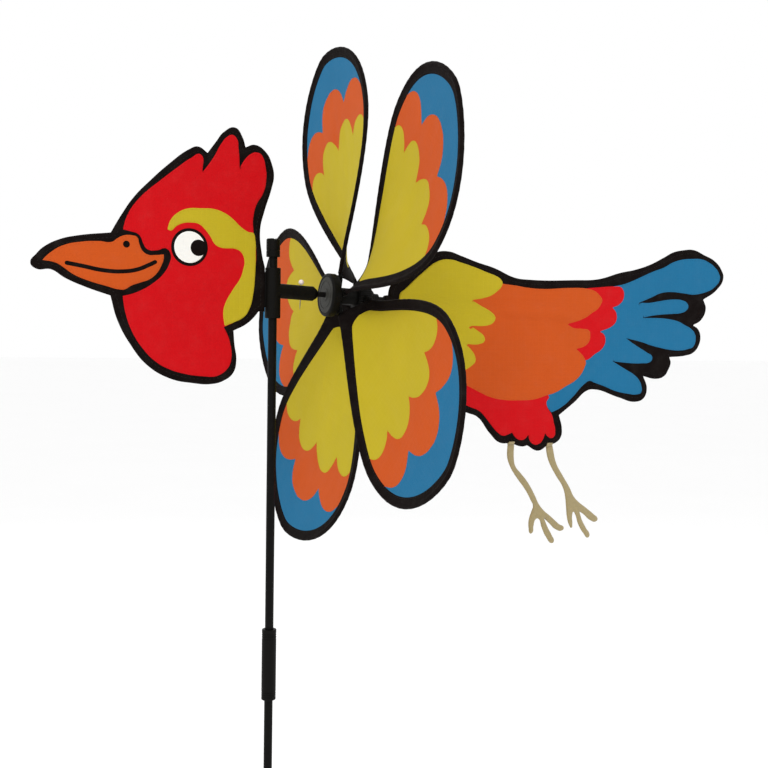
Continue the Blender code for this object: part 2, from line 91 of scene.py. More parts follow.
# Hard parts, along their own axes
FIT = 0.0003                     # gap between a part and its bore
BEVEL, FINE_BEVEL, COLLAR_BEVEL = 0.0006, 0.0004, 0.0012
CUT_PAST, CUT_LENGTH, CUT_BEVEL = 0.005, 0.02, 0.0002
FINE_GROOVE, GROOVE_DEPTH, GROOVE_PITCH = 0.0003, 0.0004, 0.0022
TIP_ROUND, POINT_ROUND, POINT_FLAT = 0.003, 0.0012, 0.0013
FERRULE_GROOVES_TOP, FERRULE_GROOVES_BOTTOM = 0.0035, 0.0079
CAP_SLOT = 0.0016
TEE_RADIUS, TEE_BORE, STOP_POCKET = 0.00725, 0.0043, 0.0060
SLEEVE_RADIUS, SLEEVE_MOUTH, SLEEVE_END, SLEEVE_TAPER = 0.0069, 0.0037, 0.044, 0.0042
SPAR_SOCKET, SPAR_SOCKET_FLOOR = 0.0028, 0.0077
PIN_HOLE, NEEDLE_RADIUS = 0.0009, 0.00045
FIN_HALF, FIN_TOP, FIN_BOTTOM = 0.0009, 0.017, -0.016
HUB_RIM, PLATE_SEAT = 0.0030, 0.0010
BARREL_RADIUS, BARREL_START, BARREL_END = 0.0080, 0.0620, 0.1015
COLLAR_RADIUS, COLLAR_START, COLLAR_END = 0.0125, 0.084, 0.098
SOCKET_RADIUS, SOCKET_INNER, SOCKET_OUTER = 0.0032, 0.0065, 0.0195

# Cloth and felt
CLOTH_PLACE = "cloth_place"      # attribute with each point's place on the flat cloth
CUT_STEP = 0.0030
PANEL_DEPTH = 0.0018             # half the thickness of the black cloth
EDGE_ROUND = 0.0024
LAYER = 0.00040                  # thickness of one sewn-on colour
LAYER_SUNK, LAYER_UNDER = 0.0001, 0.0004
LEVEL_STEP = 0.00022             # how much higher each further colour lies
POCKET_START, POCKET_END, POCKET_HEIGHT, POCKET_WIDTH = 0.122, 0.331, 0.002232, 0.0062
POCKET_MOUTH = [(0.0027, 0.116), (0.0040, 0.1155), (0.0046, 0.118), (0.0043, 0.130),
                (0.0027, 0.130)]
SAIL_ROOT = 0.0255               # where a sail begins, from the wheel's axis
SAIL_EDGE = 0.0045               # how far the sail's cut edge lies inside the petal's edge
SAIL_EDGE_STEP, SAIL_THICKNESS, BELLY = 0.004, 0.0003, 0.004
HEM_ROOT, HEM_WIDTH = 0.0182, 0.0108
HEM_RADIUS = 0.0020              # of the channel that holds the rod
# The hem's two plies: (distance inside the petal's edge, half thickness)
HEM_PLIES = [(0.0052, 0.0009), (0.0074, 0.00062), (HEM_WIDTH - 0.0007, 0.00052),
             (HEM_WIDTH, 0.0001)]
STITCH, STITCH_PITCH, STITCH_RADIUS, STITCH_SIDES = 0.0024, 0.0038, 0.00022, 6
STITCH_INSET, HEM_STITCH_INSET = 0.0015, 0.0045
SLANTED = (0.31, 0.52, 0.79)     # a direction that no stitch runs in
LEG_DEPTH, FELT_STEP = 0.0011, 0.0022
LEAST_FILL = 0.32                # of a sheet's rectangle
TAB_OVERLAP, TAB_UNDER, TAB_CORNER, TAB_SEARCH = 0.0020, 0.0003, 0.0012, 0.030

# Colours that wear and dust mix in, and the heights between which soil clings to the pole
DUST = (0.42, 0.40, 0.36)
SCUFFED = (0.32, 0.31, 0.29)
SCRATCHED = (0.25, 0.24, 0.23)
SOIL, SOIL_LOW, SOIL_HIGH = (0.12, 0.085, 0.055), -0.16, 0.03
# The needle's steel is made much darker than bright steel, to paint the shade that lies on the needle.
STEEL_PAINTED_SHADE_DARK, STEEL_PAINTED_SHADE_PALE = (0.20, 0.19, 0.18), (0.36, 0.35, 0.33)
PEARL_PINK, PEARL_PALE = (0.88, 0.70, 0.68), (0.93, 0.88, 0.84)

# The photograph's view, and the lights: (name, place, size, power)
CAMERA_PLACE = (-0.3828, -1.0224, 0.5625)
CAMERA_TARGET = (0.1167, 0, 0.5141)
CAMERA_ROLL = math.radians(0.85)
CAMERA_LENS = 54.55
FLOOR_SIZE = 30
LIT_PLACE = (0.12, 0, 0.5)
LIGHTS = [("key", (-1.2, -1.4, 2.4), 0.8, 17), ("fill", (2.2, -2.0, 0.9), 2.0, 5),
          ("back", (0.8, 2.4, 1.8), 1.6, 8)]

# Outlines in the bird's plane, millimetres from the middle of the tee; "corner" marks a sharp one
HEAD = [
    (-219, 17), (-214, 25), (-208, 31), (-195, 38), (-180, 42), (-151, 46, "corner"), (-143, 60),
    (-131, 78), (-116, 94), (-99, 110), (-81, 124), (-73, 127), (-64, 122, "corner"), (-56, 133),
    (-49, 142), (-38, 147), (-31, 139), (-28, 130, "corner"), (-19, 133), (-8, 127), (-2, 116),
    (0, 106), (-2, 95), (-9, 73), (-13, 56), (-11, 33), (-8, 21, "corner"), (-8, -20, "corner"),
    (-14, -20, "corner"), (-18, -25), (-26, -32), (-38, -38, "corner"), (-37, -50), (-35, -66),
    (-38, -77), (-47, -84), (-58, -87), (-77, -86), (-97, -82), (-118, -70), (-133, -52), (-145, -30),
    (-151, -9, "corner"), (-173, -2), (-190, 5), (-202, 12), (-214, 12),
]
HEAD_RED = [
    (-141, 49, "corner"), (-137, 62), (-125, 79), (-108, 94), (-92, 107), (-80, 116), (-71, 120),
    (-69, 104.5, "corner"), (-64, 111), (-58, 120), (-52, 131), (-46, 138), (-41, 140), (-37, 137),
    (-35, 127), (-34, 111, "corner"), (-29, 119), (-23, 124.5), (-18, 126), (-13, 124), (-9, 114),
    (-8, 102), (-11, 89), (-17, 79), (-20, 69), (-20, 53), (-18, 45), (-18, 14), (-20, -6),
    (-22.5, -16), (-28, -25), (-37, -30), (-47.5, -35, "corner"), (-42.5, -46), (-40, -60), (-42, -70),
    (-47, -76), (-55, -80), (-67, -80), (-83, -78), (-100, -73), (-112, -66), (-122, -56), (-132, -41),
    (-138, -25), (-141, -9, "corner"), (-133, -7), (-123.5, -3), (-114.5, 2.5), (-105, 11), (-99.5, 20),
    (-98, 29), (-102, 34), (-110, 32), (-119, 32.5), (-123, 38), (-125, 43), (-128, 46), (-134, 47.5),
]
HEAD_CRESCENT = [
    (-101.5, 51, "corner"), (-99, 59), (-93, 66), (-83, 71), (-70, 72), (-58, 72), (-48, 69), (-40, 64),
    (-32, 57), (-25, 53), (-20, 52), (-18, 45), (-17.5, 35), (-18, 14), (-20, -6), (-22.5, -16),
    (-28, -25), (-37, -30), (-47.5, -34.5, "corner"), (-49, -21), (-47, -13), (-40, -0.5), (-33, 10),
    (-30, 19), (-29, 25), (-31, 32), (-35, 35.5), (-52, 37), (-57, 39.5), (-62, 47), (-67, 53),
    (-72, 57), (-80, 58), (-87, 57), (-93, 54), (-97.5, 50),
]
BEAK = [
    (-210, 19.5, "corner"), (-202, 27), (-192, 33), (-175, 37), (-162, 38), (-150, 38), (-146, 41),
    (-140, 44), (-133, 44.5), (-128, 43), (-126, 37), (-123, 31), (-118, 28), (-112, 28),
    (-104, 29, "corner"), (-104, 25), (-106, 19), (-110, 12), (-117, 6), (-125, 3), (-133, 0),
    (-139, -3.5), (-145, -3.5), (-155, -1), (-170, 3), (-183, 8), (-192, 14), (-198, 17.5),
]
MOUTH = [
    (-189, 18), (-175, 15.7), (-158, 12.8), (-142, 12.3), (-128, 14.5), (-118, 18.7), (-112, 21.7),
]
MOUTH_WIDTH = 4.3
NOSTRIL, NOSTRIL_RADIUS = (-137.7, 36.3), 3.4
EYE, EYE_RING, EYE_WHITE = (-80.7, 36.3), 17.2, 14.7
PUPIL, PUPIL_RADIUS = (-72.6, 36.0), 8.0

BODY = [
    (120, -2), (121, 6), (126, 13), (138, 22), (154, 33), (172, 43), (187, 44.5), (200, 41), (220, 35),
    (240, 30), (265, 21), (283, 19.5), (340, 21), (370, 23), (400, 31), (420, 35), (440, 41), (460, 50),
    (472, 56), (485, 59), (500, 60), (515, 55), (530, 49), (540, 40), (544, 30), (535, 16),
    (517, 5, "corner"), (521, -5), (515, -18), (504, -24, "corner"), (511, -28), (515, -37), (512, -48),
    (505, -55), (495, -58), (470, -60, "corner"), (472, -66), (468, -75), (463, -81), (452, -84),
    (433, -81, "corner"), (438, -94), (434, -105), (422, -109), (400, -104), (366, -95), (357, -97),
    (343, -108), (323, -122, "corner"), (327, -136), (326, -145), (320, -151), (310, -153, "corner"),
    (298, -159), (284, -153, "corner"), (278, -154), (264, -150, "corner"), (250, -149), (238, -139),
    (223, -122), (212, -118), (185, -108), (158, -84), (136, -48), (124, -18),
]
BODY_BLUE = [
    (380, 14.5, "corner"), (404, 19), (416, 23), (430, 28.5), (444, 34), (459, 39), (471, 45),
    (483, 48.5), (497, 50), (511, 50), (523, 46), (531, 41), (537, 34), (538, 28), (534, 22), (526, 16),
    (514, 12), (501, 10), (489, 11), (467, 12), (454, 10), (444, 6), (426, -0.5, "corner"), (439, -0.4),
    (451, 1.4), (463, 3.3), (476, 4.3), (486, 3.6), (493, 0.7), (495, -4), (492, -8), (484, -11),
    (473, -12), (459, -13), (444, -14.6), (431, -17, "corner"), (459, -17), (470, -18), (481, -20),
    (491, -24), (500, -28), (506, -34), (507, -41), (504, -48), (496, -51), (484, -52.6), (470, -52),
    (456, -50), (441, -47), (430, -44), (408.6, -40, "corner"), (417, -45), (429, -51), (437, -55),
    (444, -59), (444, -63), (440, -66), (430, -67), (416, -67), (391, -65, "corner"), (409, -74),
    (419, -79), (426, -85), (430, -94), (429, -99), (423, -101), (410, -100), (394, -97), (380, -92),
    (367, -88), (360, -86), (354, -89), (341, -101), (329, -111), (320, -116), (312, -119, "corner"),
    (305, -110), (304, -101), (322, -88), (335, -60), (345, -30), (365, 0),
]
BODY_RED = [
    (350, 12.5, "corner"), (371, 14.5), (390, 16), (399, 15.7), (403, 12), (404, 8), (403, 2),
    (397, -4), (389, -7, "corner"), (393, -11), (394.6, -16), (394, -21), (390, -26),
    (373, -33, "corner"), (378, -36), (380, -41), (379, -47), (374, -53), (367, -57), (355, -64),
    (340, -62), (325, -40), (320, -20), (335, 5),
]
BODY_SKIRT = [
    (176, -93), (205, -88), (235, -95), (265, -99), (300, -98), (309, -102), (306, -108), (307, -113),
    (313, -121), (316, -130), (318, -139), (317, -144), (313, -146), (308, -144), (305, -141, "corner"),
    (302, -148), (297, -152), (291, -152), (286, -148), (284, -142, "corner"), (280, -146), (274, -147),
    (268, -144), (264, -139, "corner"), (259, -141), (253, -142), (246, -138), (239, -131), (231, -122),
    (224, -116), (214, -112), (200, -107), (186, -102),
]
BODY_ORANGE = [
    (228, 20), (249, 14.5), (265, 13), (280, 11.2), (300, 10.5), (320, 11.8), (337, 12.8), (354, 12.6),
    (364, 10.7), (371, 6), (374.6, 1), (373, -4), (369, -9), (361, -14), (353, -19),
    (331, -26, "corner"), (337, -29), (350, -30), (358.6, -32), (360, -37), (358.6, -44), (353, -49),
    (343, -52, "corner"), (347, -55), (352, -60), (355, -66), (353.6, -71), (349, -79), (341, -86),
    (331, -91), (317, -98), (306, -101), (291, -105), (271, -106), (250, -105), (236, -102), (226, -98),
    (208, -90), (180, -80), (172, -60), (185, -30), (205, 5),
]
BODY_YELLOW = [
    (130, -2), (139, 7), (156, 22), (174, 34.5), (187, 36.5), (200, 34), (220, 28.6), (231, 25),
    (241, 22), (247, 18.6), (249, 15.7), (248, 11), (243, 6), (236, 1.4), (229, -1),
    (214, -4, "corner"), (221, -8), (230, -12), (237, -16), (241, -19), (241.5, -22), (239, -26),
    (233, -29), (214, -30, "corner"), (221, -34), (227, -38), (229, -41), (229, -45), (224, -48),
    (208.6, -48.6, "corner"), (216, -56), (218.6, -61), (218.6, -66), (216, -69), (203, -76),
    (185, -80), (165, -72), (147, -48), (134, -20),
]
LEGS = {
    "leg_front": [
        (260, -151.4, "corner"), (260, -165), (264, -175), (270, -184), (283, -200), (290, -211),
        (293, -217), (291, -223), (288, -232), (288, -240), (290, -246), (293, -245), (294, -238),
        (297, -231), (300, -231), (304, -240), (310, -251), (318, -258), (320, -256), (317, -249),
        (312, -241), (307, -231, "corner"), (314, -237), (321, -243), (330, -245), (332, -242),
        (326, -238), (315, -229), (306, -222), (300, -215), (295, -206), (285, -191), (277, -182),
        (270, -174), (268, -166), (268, -151.4, "corner"),
    ],
    "leg_rear": [
        (307.5, -155.8, "corner"), (309, -164), (312, -172), (320, -185), (330, -199), (333, -208),
        (334.5, -220), (336, -232), (339, -240), (342, -243), (343, -239), (342.5, -230), (344, -226),
        (346, -228), (351, -240), (358, -250), (364, -255), (366, -252), (361, -244), (355, -234),
        (352, -226, "corner"), (357, -229), (366, -236), (374, -238), (376, -235), (371, -230),
        (360, -222), (350, -215), (344, -209), (339, -200), (330, -187), (321, -173),
        (315.5, -153.6, "corner"),
    ],
}

# The black patch at a sail's root, along one half of its edge
SAIL_ROOT_PATCH = [
    (16.5, 0, "corner"), (17.2, 9.0), (23.5, 13.2), (34, 18.6), (42, 21.2, "corner"), (38, 12.5),
    (33, 6), (30.5, 0),
]

# The sails' pattern: (reach, width) in millimetres along half of each scalloped edge
SAIL_YELLOW = [
    (156, 0, "corner"), (166, 6), (174, 15), (176, 26), (172, 35), (163, 40), (150, 43, "corner"),
    (157, 51), (160, 62), (157, 71), (149, 77), (137, 81), (118, 100),
]
SAIL_ORANGE = [
    (222, 0), (218, 14), (208, 25), (193, 31, "corner"), (200, 42), (203, 55), (199, 67), (189, 76),
    (172, 84), (150, 105),
]


# ---------------------------------------------------------------- materials

def linear(*levels):
    """A colour given as screen levels from 0 to 255, as the shaders need it."""
    return tuple(((level / 255 + 0.055) / 1.055) ** 2.4 for level in levels)


def shaded(colour, factor=1.0):
    return tuple(min(channel * factor, 1) for channel in colour) + (1,)


class Nodes:
    """Short calls for building a material's node tree."""

    def __init__(self, name, roughness, metallic=0.0, specular=0.5):
        self.material = bpy.data.materials.new(name)
        self.material.use_nodes = True
        self.tree = self.material.node_tree
        self.shader = self.tree.nodes["Principled BSDF"]
        self.constants({"Roughness": roughness, "Metallic": metallic,
                        "Specular IOR Level": specular})

    def constants(self, values):
        for socket, value in values.items():
            self.shader.inputs[socket].default_value = value

    def add(self, kind, links=(), **settings):
        node = self.tree.nodes.new(kind)
        for key, value in settings.items():
            setattr(node, key, value)
        for socket, source in dict(links).items():
            self.feed(node.inputs[socket], source)
        return node

    def feed(self, socket, source):
        if isinstance(source, (int, float, tuple)):
            socket.default_value = source
        else:
            self.tree.links.new(source, socket)

    def place(self, attribute=None):
        if attribute:
            return self.add("ShaderNodeAttribute", attribute_name=attribute).outputs["Vector"]
        return self.add("ShaderNodeTexCoord").outputs["Object"]

    def noise(self, place, scale, detail=3.0, rough=0.5):
        node = self.add("ShaderNodeTexNoise", {"Vector": place, "Scale": scale,
                                               "Detail": detail, "Roughness": rough})
        return node.outputs["Fac"]

    def waves(self, place, pitch, axis):
        """Smooth ridges from 0 to 1, pitch metres apart."""
        scale = 2 * math.pi / 20 / pitch
        node = self.add("ShaderNodeTexWave", {"Vector": place, "Scale": scale},
                        bands_direction=axis)
        return node.outputs["Fac"]

    def maths(self, operation, a, b=0.0, clamp=False):
        node = self.add("ShaderNodeMath", {0: a, 1: b}, operation=operation)
        node.use_clamp = clamp
        return node.outputs[0]

    def times(self, a, b, clamp=False):
        return self.maths("MULTIPLY", a, b, clamp)

    def total(self, a, b):
        return self.maths("ADD", a, b)

    def spread(self, value, low, high):
        """The value, from 0 to 1, spread from low to high."""
        node = self.add("ShaderNodeMapRange", {"Value": value, "To Min": low, "To Max": high})
        return node.outputs["Result"]

    def blend(self, share, a, b):
        node = self.add("ShaderNodeMix", data_type="RGBA")
        self.feed(node.inputs["Factor"], share)
        self.feed(node.inputs[6], a)
        self.feed(node.inputs[7], b)
        return node.outputs[2]

    def finished(self, tone, roughness, height, depth):
        """The material, with its colour, roughness and bumps of the given depth in metres."""
        self.feed(self.shader.inputs["Base Color"], tone)
        self.feed(self.shader.inputs["Roughness"], roughness)
        bump = self.add("ShaderNodeBump", {"Height": height, "Distance": depth, "Strength": 1.0})
        self.feed(self.shader.inputs["Normal"], bump.outputs["Normal"])
        return self.material


def cloth(name, colour, rib=0.0052, thread=0.00062, sheen=0.02, specular=0.12):
    """Ripstop cloth: a fine plain weave with a heavier thread every few millimetres."""
    n = Nodes(name, 0.78, specular=specular)
    n.constants({"Sheen Weight": sheen, "Sheen Roughness": 0.45})
    place = n.place(CLOTH_PLACE)
    weave = n.times(n.waves(place, thread, "X"), n.waves(place, thread, "Y"))
    ribs = n.maths("MAXIMUM", *(n.maths("POWER", n.waves(place, rib, axis), 40.0)
                                for axis in "XY"))
    slub = n.noise(place, 900.0, 2.0)
    faded = n.noise(place, 14.0, 4.0, 0.6)
    dusty = n.maths("POWER", n.noise(place, 70.0, 5.0, 0.65), 4.0)
    tone = n.blend(n.spread(faded, 0.0, 1.0), shaded(colour, 0.93), shaded(colour, 1.08))
    tone = n.blend(n.times(dusty, 0.08), tone, shaded(DUST))
    tone = n.blend(n.spread(weave, 0.12, 0.0), tone, shaded(colour, 0.6))
    tone = n.blend(n.times(ribs, 0.10), tone, shaded(colour, 1.3))
    height = n.total(n.times(weave, 0.5), n.times(ribs, 0.7))
    height = n.total(height, n.times(slub, 0.35))
    return n.finished(tone, n.spread(slub, 0.66, 0.88), height, 0.00012)


def felt(name, colour):
    """Thick felt: clumps of fibres and no gloss."""
    n = Nodes(name, 0.95)
    n.constants({"Sheen Weight": 0.35, "Sheen Roughness": 0.6})
    place = n.place(CLOTH_PLACE)
    fibres = n.noise(place, 1600.0, 4.0, 0.7)
    clumps = n.noise(place, 260.0, 3.0, 0.6)
    tone = n.blend(clumps, shaded(colour, 0.82), shaded(colour, 1.16))
    tone = n.blend(n.spread(fibres, 0.0, 0.35), tone, shaded(colour, 1.4))
    height = n.total(fibres, n.times(clumps, 0.8))
    return n.finished(tone, n.spread(clumps, 0.86, 1.0), height, 0.0004)


def plastic(name, colour, roughness, wear=0.02, grain=2200.0, specular=0.08):
    """Moulded plastic: a fine spark-eroded grain, uneven gloss and paler rubbed places."""
    n = Nodes(name, roughness, specular=specular)
    place = n.place()
    fine = n.noise(place, grain, 2.0)
    cloudy = n.noise(place, 90.0, 5.0, 0.6)
    scuff = n.maths("POWER", n.noise(place, 420.0, 6.0, 0.75), 3.0)
    tone = n.blend(cloudy, shaded(colour, 0.85), shaded(colour, 1.25))
    tone = n.blend(n.times(scuff, wear), tone, shaded(SCUFFED))
    gloss = n.spread(cloudy, roughness - 0.08, roughness + 0.12)
    return n.finished(tone, gloss, n.total(fine, n.times(scuff, 0.7)), 0.00008)


def pole_coating(name, colour):
    """Black coating drawn along the pole, rubbed by the ferrule and dusty near the ground."""
    n = Nodes(name, 0.42, specular=0.07)
    place = n.place()
    squeeze = n.add("ShaderNodeMapping", {"Vector": place, "Scale": (900.0, 900.0, 18.0)})
    streaks = n.noise(squeeze.outputs["Vector"], 1.0, 4.0, 0.6)
    scratches = n.maths("POWER", n.noise(place, 300.0, 6.0, 0.7), 4.0)
    height = n.add("ShaderNodeSeparateXYZ", {0: place}).outputs["Z"]
    low = n.add("ShaderNodeMapRange", {"Value": height, "From Min": SOIL_LOW,
                                       "From Max": SOIL_HIGH, "To Min": 1.0, "To Max": 0.0})
    soil = n.times(low.outputs["Result"], n.noise(place, 160.0, 5.0, 0.7), clamp=True)
    tone = n.blend(streaks, shaded(colour, 0.8), shaded(colour, 1.5))
    tone = n.blend(n.times(scratches, 0.06), tone, shaded(SCRATCHED))
    tone = n.blend(n.times(soil, 0.8), tone, shaded(SOIL))
    return n.finished(tone, n.spread(streaks, 0.32, 0.55), streaks, 0.00006)


def steel(name):
    n = Nodes(name, 0.25, 1.0)
    marks = n.noise(n.place(), 3000.0, 3.0)
    # Painted shade: the steel's tones are darkened so that the needle looks as if it lies in shadow.
    tone = n.blend(marks, shaded(STEEL_PAINTED_SHADE_DARK), shaded(STEEL_PAINTED_SHADE_PALE))
    return n.finished(tone, n.spread(marks, 0.18, 0.36), marks, 0.00002)


def pearl(name):
    n = Nodes(name, 0.22)
    n.constants({"Coat Weight": 0.6, "Coat Roughness": 0.12})
    swirl = n.noise(n.place(), 420.0, 4.0, 0.6)
    tone = n.blend(swirl, shaded(PEARL_PINK), shaded(PEARL_PALE))
    return n.finished(tone, n.spread(swirl, 0.16, 0.30), swirl, 0.00004)


MATERIALS = {
    "yellow": cloth("yellow_cloth", linear(190, 171, 34)),
    "orange": cloth("orange_cloth", linear(199, 82, 24)),
    "blue": cloth("blue_cloth", linear(28, 108, 150)),
    "red": cloth("red_cloth", linear(202, 2, 16)),
    "white": cloth("white_cloth", linear(244, 244, 240)),
    "black": cloth("black_cloth", linear(14, 7, 6), sheen=0.005, specular=0.05),
    "thread": cloth("black_thread", linear(30, 28, 27), rib=0.01),
    "felt": felt("tan_felt", linear(151, 135, 92)),
    "pole": pole_coating("pole_black", linear(8, 7, 6)),
    "plastic": plastic("black_plastic", linear(9, 8, 6), 0.5),
    "rod": plastic("rod_black", linear(10, 9, 8), 0.4, grain=900.0),
    # The hub's grey is painted light: it stands in for the light falling on the lit front face of the
    # wheel's disc.
    "hub": plastic("hub_grey", linear(46, 46, 42), 0.5, wear=0.16, specular=0.12),
    "steel": steel("pin_steel"),
    "pearl": pearl("pearl"),
}


def add_piece(name, mesh, finishes, body, replaced=()):
    """A new piece that rides on a body and the CAD nodes that it stands for."""
    piece = bpy.data.objects.new(name, mesh)
    bpy.context.scene.collection.objects.link(piece)
    for finish in finishes:
        mesh.materials.append(MATERIALS[finish])
    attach(piece, body)
    if replaced:
        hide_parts(*replaced)
    return piece


# ---------------------------------------------------------------- flat shapes

def unit(rows):
    """Each row scaled to a length of one."""
    return rows / (np.linalg.norm(rows, axis=1)[:, None] + 1e-12)


def smooth_loop(knots, closed=True, resolution=7):
    """Points of a smooth line through the knots, in metres; corners stay sharp."""
    curve = bpy.data.curves.new("loop", "CURVE")
    curve.dimensions = "2D"
    curve.fill_mode = "NONE"
    curve.resolution_u = resolution
    spline = curve.splines.new("BEZIER")
    spline.bezier_points.add(len(knots) - 1)
    spline.use_cyclic_u = closed
    for knot, place in zip(spline.bezier_points, knots):
        knot.co = (place[0], place[1], 0)
        kind = "VECTOR" if "corner" in place else "AUTO"
        knot.handle_left_type = kind
        knot.handle_right_type = kind
    holder = bpy.data.objects.new("loop", curve)
    bpy.context.scene.collection.objects.link(holder)
    bpy.context.view_layer.update()
    mesh = bpy.data.meshes.new_from_object(
        holder.evaluated_get(bpy.context.evaluated_depsgraph_get()))
    points = np.array([v.co[:2] for v in mesh.vertices]) * MM
    bpy.data.objects.remove(holder)
    bpy.data.meshes.remove(mesh)
    return points


def even_loop(points, step, closed=True):
    """The same line with its long stretches divided."""
    ends = np.roll(points, -1, axis=0) if closed else points[1:]
    out = []
    for a, b in zip(points, ends):
        count = max(1, math.ceil(np.linalg.norm(b - a) / step))
        out += [a + (b - a) * i / count for i in range(count)]
    if not closed:
        out.append(points[-1])
    return np.array(out)


def turns(count):
    """Angles spread evenly round a circle."""
    return np.arange(count) / count * 2 * math.pi


def ring(centre, radius, count=48):
    angles = turns(count)
    return np.c_[centre[0] + radius * np.cos(angles), centre[1] + radius * np.sin(angles)] * MM


def stroke(knots, width):
    """A strip of even width with round ends, along a line of knots."""
    line = even_loop(smooth_loop(knots, closed=False), 0.002, closed=False)
    along = unit(np.gradient(line, axis=0)) * width * MM / 2
    side = np.c_[-along[:, 1], along[:, 0]]
    angles = np.linspace(0, math.pi, 9)[1:-1]
    end = [line[-1] - side[-1] * math.cos(t) + along[-1] * math.sin(t) for t in angles]
    start = [line[0] + side[0] * math.cos(t) - along[0] * math.sin(t) for t in angles]
    return np.vstack([line - side, end, (line + side)[::-1], start])


def inside(points, loop):
    """Which points lie inside a closed loop."""
    within = np.zeros(len(points), bool)
    x, y = points[:, 0], points[:, 1]
    for (ax, ay), (bx, by) in zip(loop, np.roll(loop, -1, axis=0)):
        if ay == by:
            continue
        crosses = (ay > y) != (by > y)
        within ^= crosses & (x < (bx - ax) * (y - ay) / (by - ay) + ax)
    return within


def nearest(points, loop, closed=True):
    """(distance, length along the loop) of the loop's nearest place to each point."""
    best = np.full(len(points), 1e9)
    place = np.zeros(len(points))
    ends = np.roll(loop, -1, axis=0) if closed else loop[1:]
    done = 0.0
    for a, b in zip(loop, ends):
        span = b - a
        length = np.linalg.norm(span)
        if length < 1e-9:
            continue
        share = np.clip((points - a) @ span / length ** 2, 0, 1)
        distance = np.linalg.norm(points - a - share[:, None] * span, axis=1)
        closer = distance < best
        best[closer] = distance[closer]
        place[closer] = done + share[closer] * length
        done += length
    return best, place


def turning(loop):
    """Twice a loop's area, positive where it runs anticlockwise."""
    x, y = loop.T
    return np.sum(x * np.roll(y, -1) - np.roll(x, -1) * y)


def flat_area(loop):
    return abs(turning(loop)) / 2


def flat_size(loop):
    return tuple(float(v) for v in np.ptp(loop, axis=0))


def inset_loop(loop, distance):
    """The loop's points moved inwards, without those that would cross another stretch."""
    along = unit(np.roll(loop, -1, axis=0) - np.roll(loop, 1, axis=0))
    side = np.c_[-along[:, 1], along[:, 0]] * math.copysign(1, turning(loop))
    moved = loop + side * distance
    gap, _ = nearest(moved, loop)
    return moved[(gap > distance * 0.9) & inside(moved, loop)]


def grid_points(loop, step, clear, seams):
    """Points of an even grid inside a loop, clear of its edge and of the seams."""
    low, high = loop.min(axis=0), loop.max(axis=0)
    xs = np.arange(low[0], high[0], step)
    ys = np.arange(low[1], high[1], step * 0.866)
    grid = np.array([(x + (j % 2) * step / 2, y) for j, y in enumerate(ys) for x in xs])
    grid = grid[inside(grid, loop)]
    gap, _ = nearest(grid, loop)
    kept = gap > clear
    for seam in seams:
        gap, _ = nearest(grid, seam, closed=False)
        kept &= gap > step * 0.45
    return grid[kept]


def cut(loop, step, rows, seams=()):
    """A cut shape as (points, triangles), with rows of points beside its edge."""
    edges = [(i, (i + 1) % len(loop)) for i in range(len(loop))]
    points = [loop]
    count = len(loop)
    for seam in seams:
        edges += [(count + i, count + i + 1) for i in range(len(seam) - 1)]
        points.append(seam)
        count += len(seam)
    points += [inset_loop(loop, row) for row in rows]
    points.append(grid_points(loop, step, max(rows, default=0) + step / 2, seams))
    made = delaunay_2d_cdt([Vector(p) for p in np.vstack(points)], edges, [], 0, 1e-6)
    verts = np.array([v[:] for v in made[0]])
    faces = np.array(made[2])
    faces = faces[inside(verts[faces].mean(axis=1), loop)]
    a, b, c = (verts[faces[:, i]] for i in range(3))
    turn = (b[:, 0] - a[:, 0]) * (c[:, 1] - a[:, 1]) - (b[:, 1] - a[:, 1]) * (c[:, 0] - a[:, 0])
    faces[turn < 0] = faces[turn < 0][:, ::-1]
    used, numbers = np.unique(faces, return_inverse=True)
    return verts[used], numbers.reshape(faces.shape)


def edge_points(faces, count):
    """Which points lie on the edge of a set of triangles."""
    pairs = np.sort(np.vstack([faces[:, [0, 1]], faces[:, [1, 2]], faces[:, [2, 0]]]), axis=1)
    unique, times = np.unique(pairs, axis=0, return_counts=True)
    on_edge = np.zeros(count, bool)
    on_edge[unique[times == 1].ravel()] = True
    return on_edge


def rounded(distance, radius):
    """Rises from 0 at an edge to 1 at radius, like a quarter circle."""
    share = np.clip(distance / radius, 0, 1)
    return np.sqrt(np.clip(1 - (1 - share) ** 2, 0, 1))


def make_mesh(name, shells):
    """One mesh from (places, marks, faces, groups) shells; marks are places on the flat cloth."""
    places, marks, faces, groups = [], [], [], []
    count = 0
    for shell_places, shell_marks, shell_faces, shell_groups in shells:
        places.append(shell_places)
        marks.append(shell_marks)
        faces += [[i + count for i in face] for face in shell_faces]
        groups.append(np.broadcast_to(shell_groups, len(shell_faces)))
        count += len(shell_places)
    mesh = bpy.data.meshes.new(name)
    mesh.from_pydata(np.vstack(places).tolist(), [], faces)
    marked = mesh.attributes.new(CLOTH_PLACE, "FLOAT_VECTOR", "POINT")
    marked.data.foreach_set("vector", np.vstack(marks).ravel())
    mesh.polygons.foreach_set("material_index", np.concatenate(groups).astype(np.int32))
    mesh.polygons.foreach_set("use_smooth", np.ones(len(faces), bool))
    mesh.update()
    return mesh


def close_ends(mesh):
    """Fills a tube's open ends and turns all faces outwards."""
    cage = bmesh.new()
    cage.from_mesh(mesh)
    bmesh.ops.holes_fill(cage, edges=[e for e in cage.edges if e.is_boundary], sides=0)
    bmesh.ops.recalc_face_normals(cage, faces=cage.faces)
    cage.to_mesh(mesh)
    cage.free()


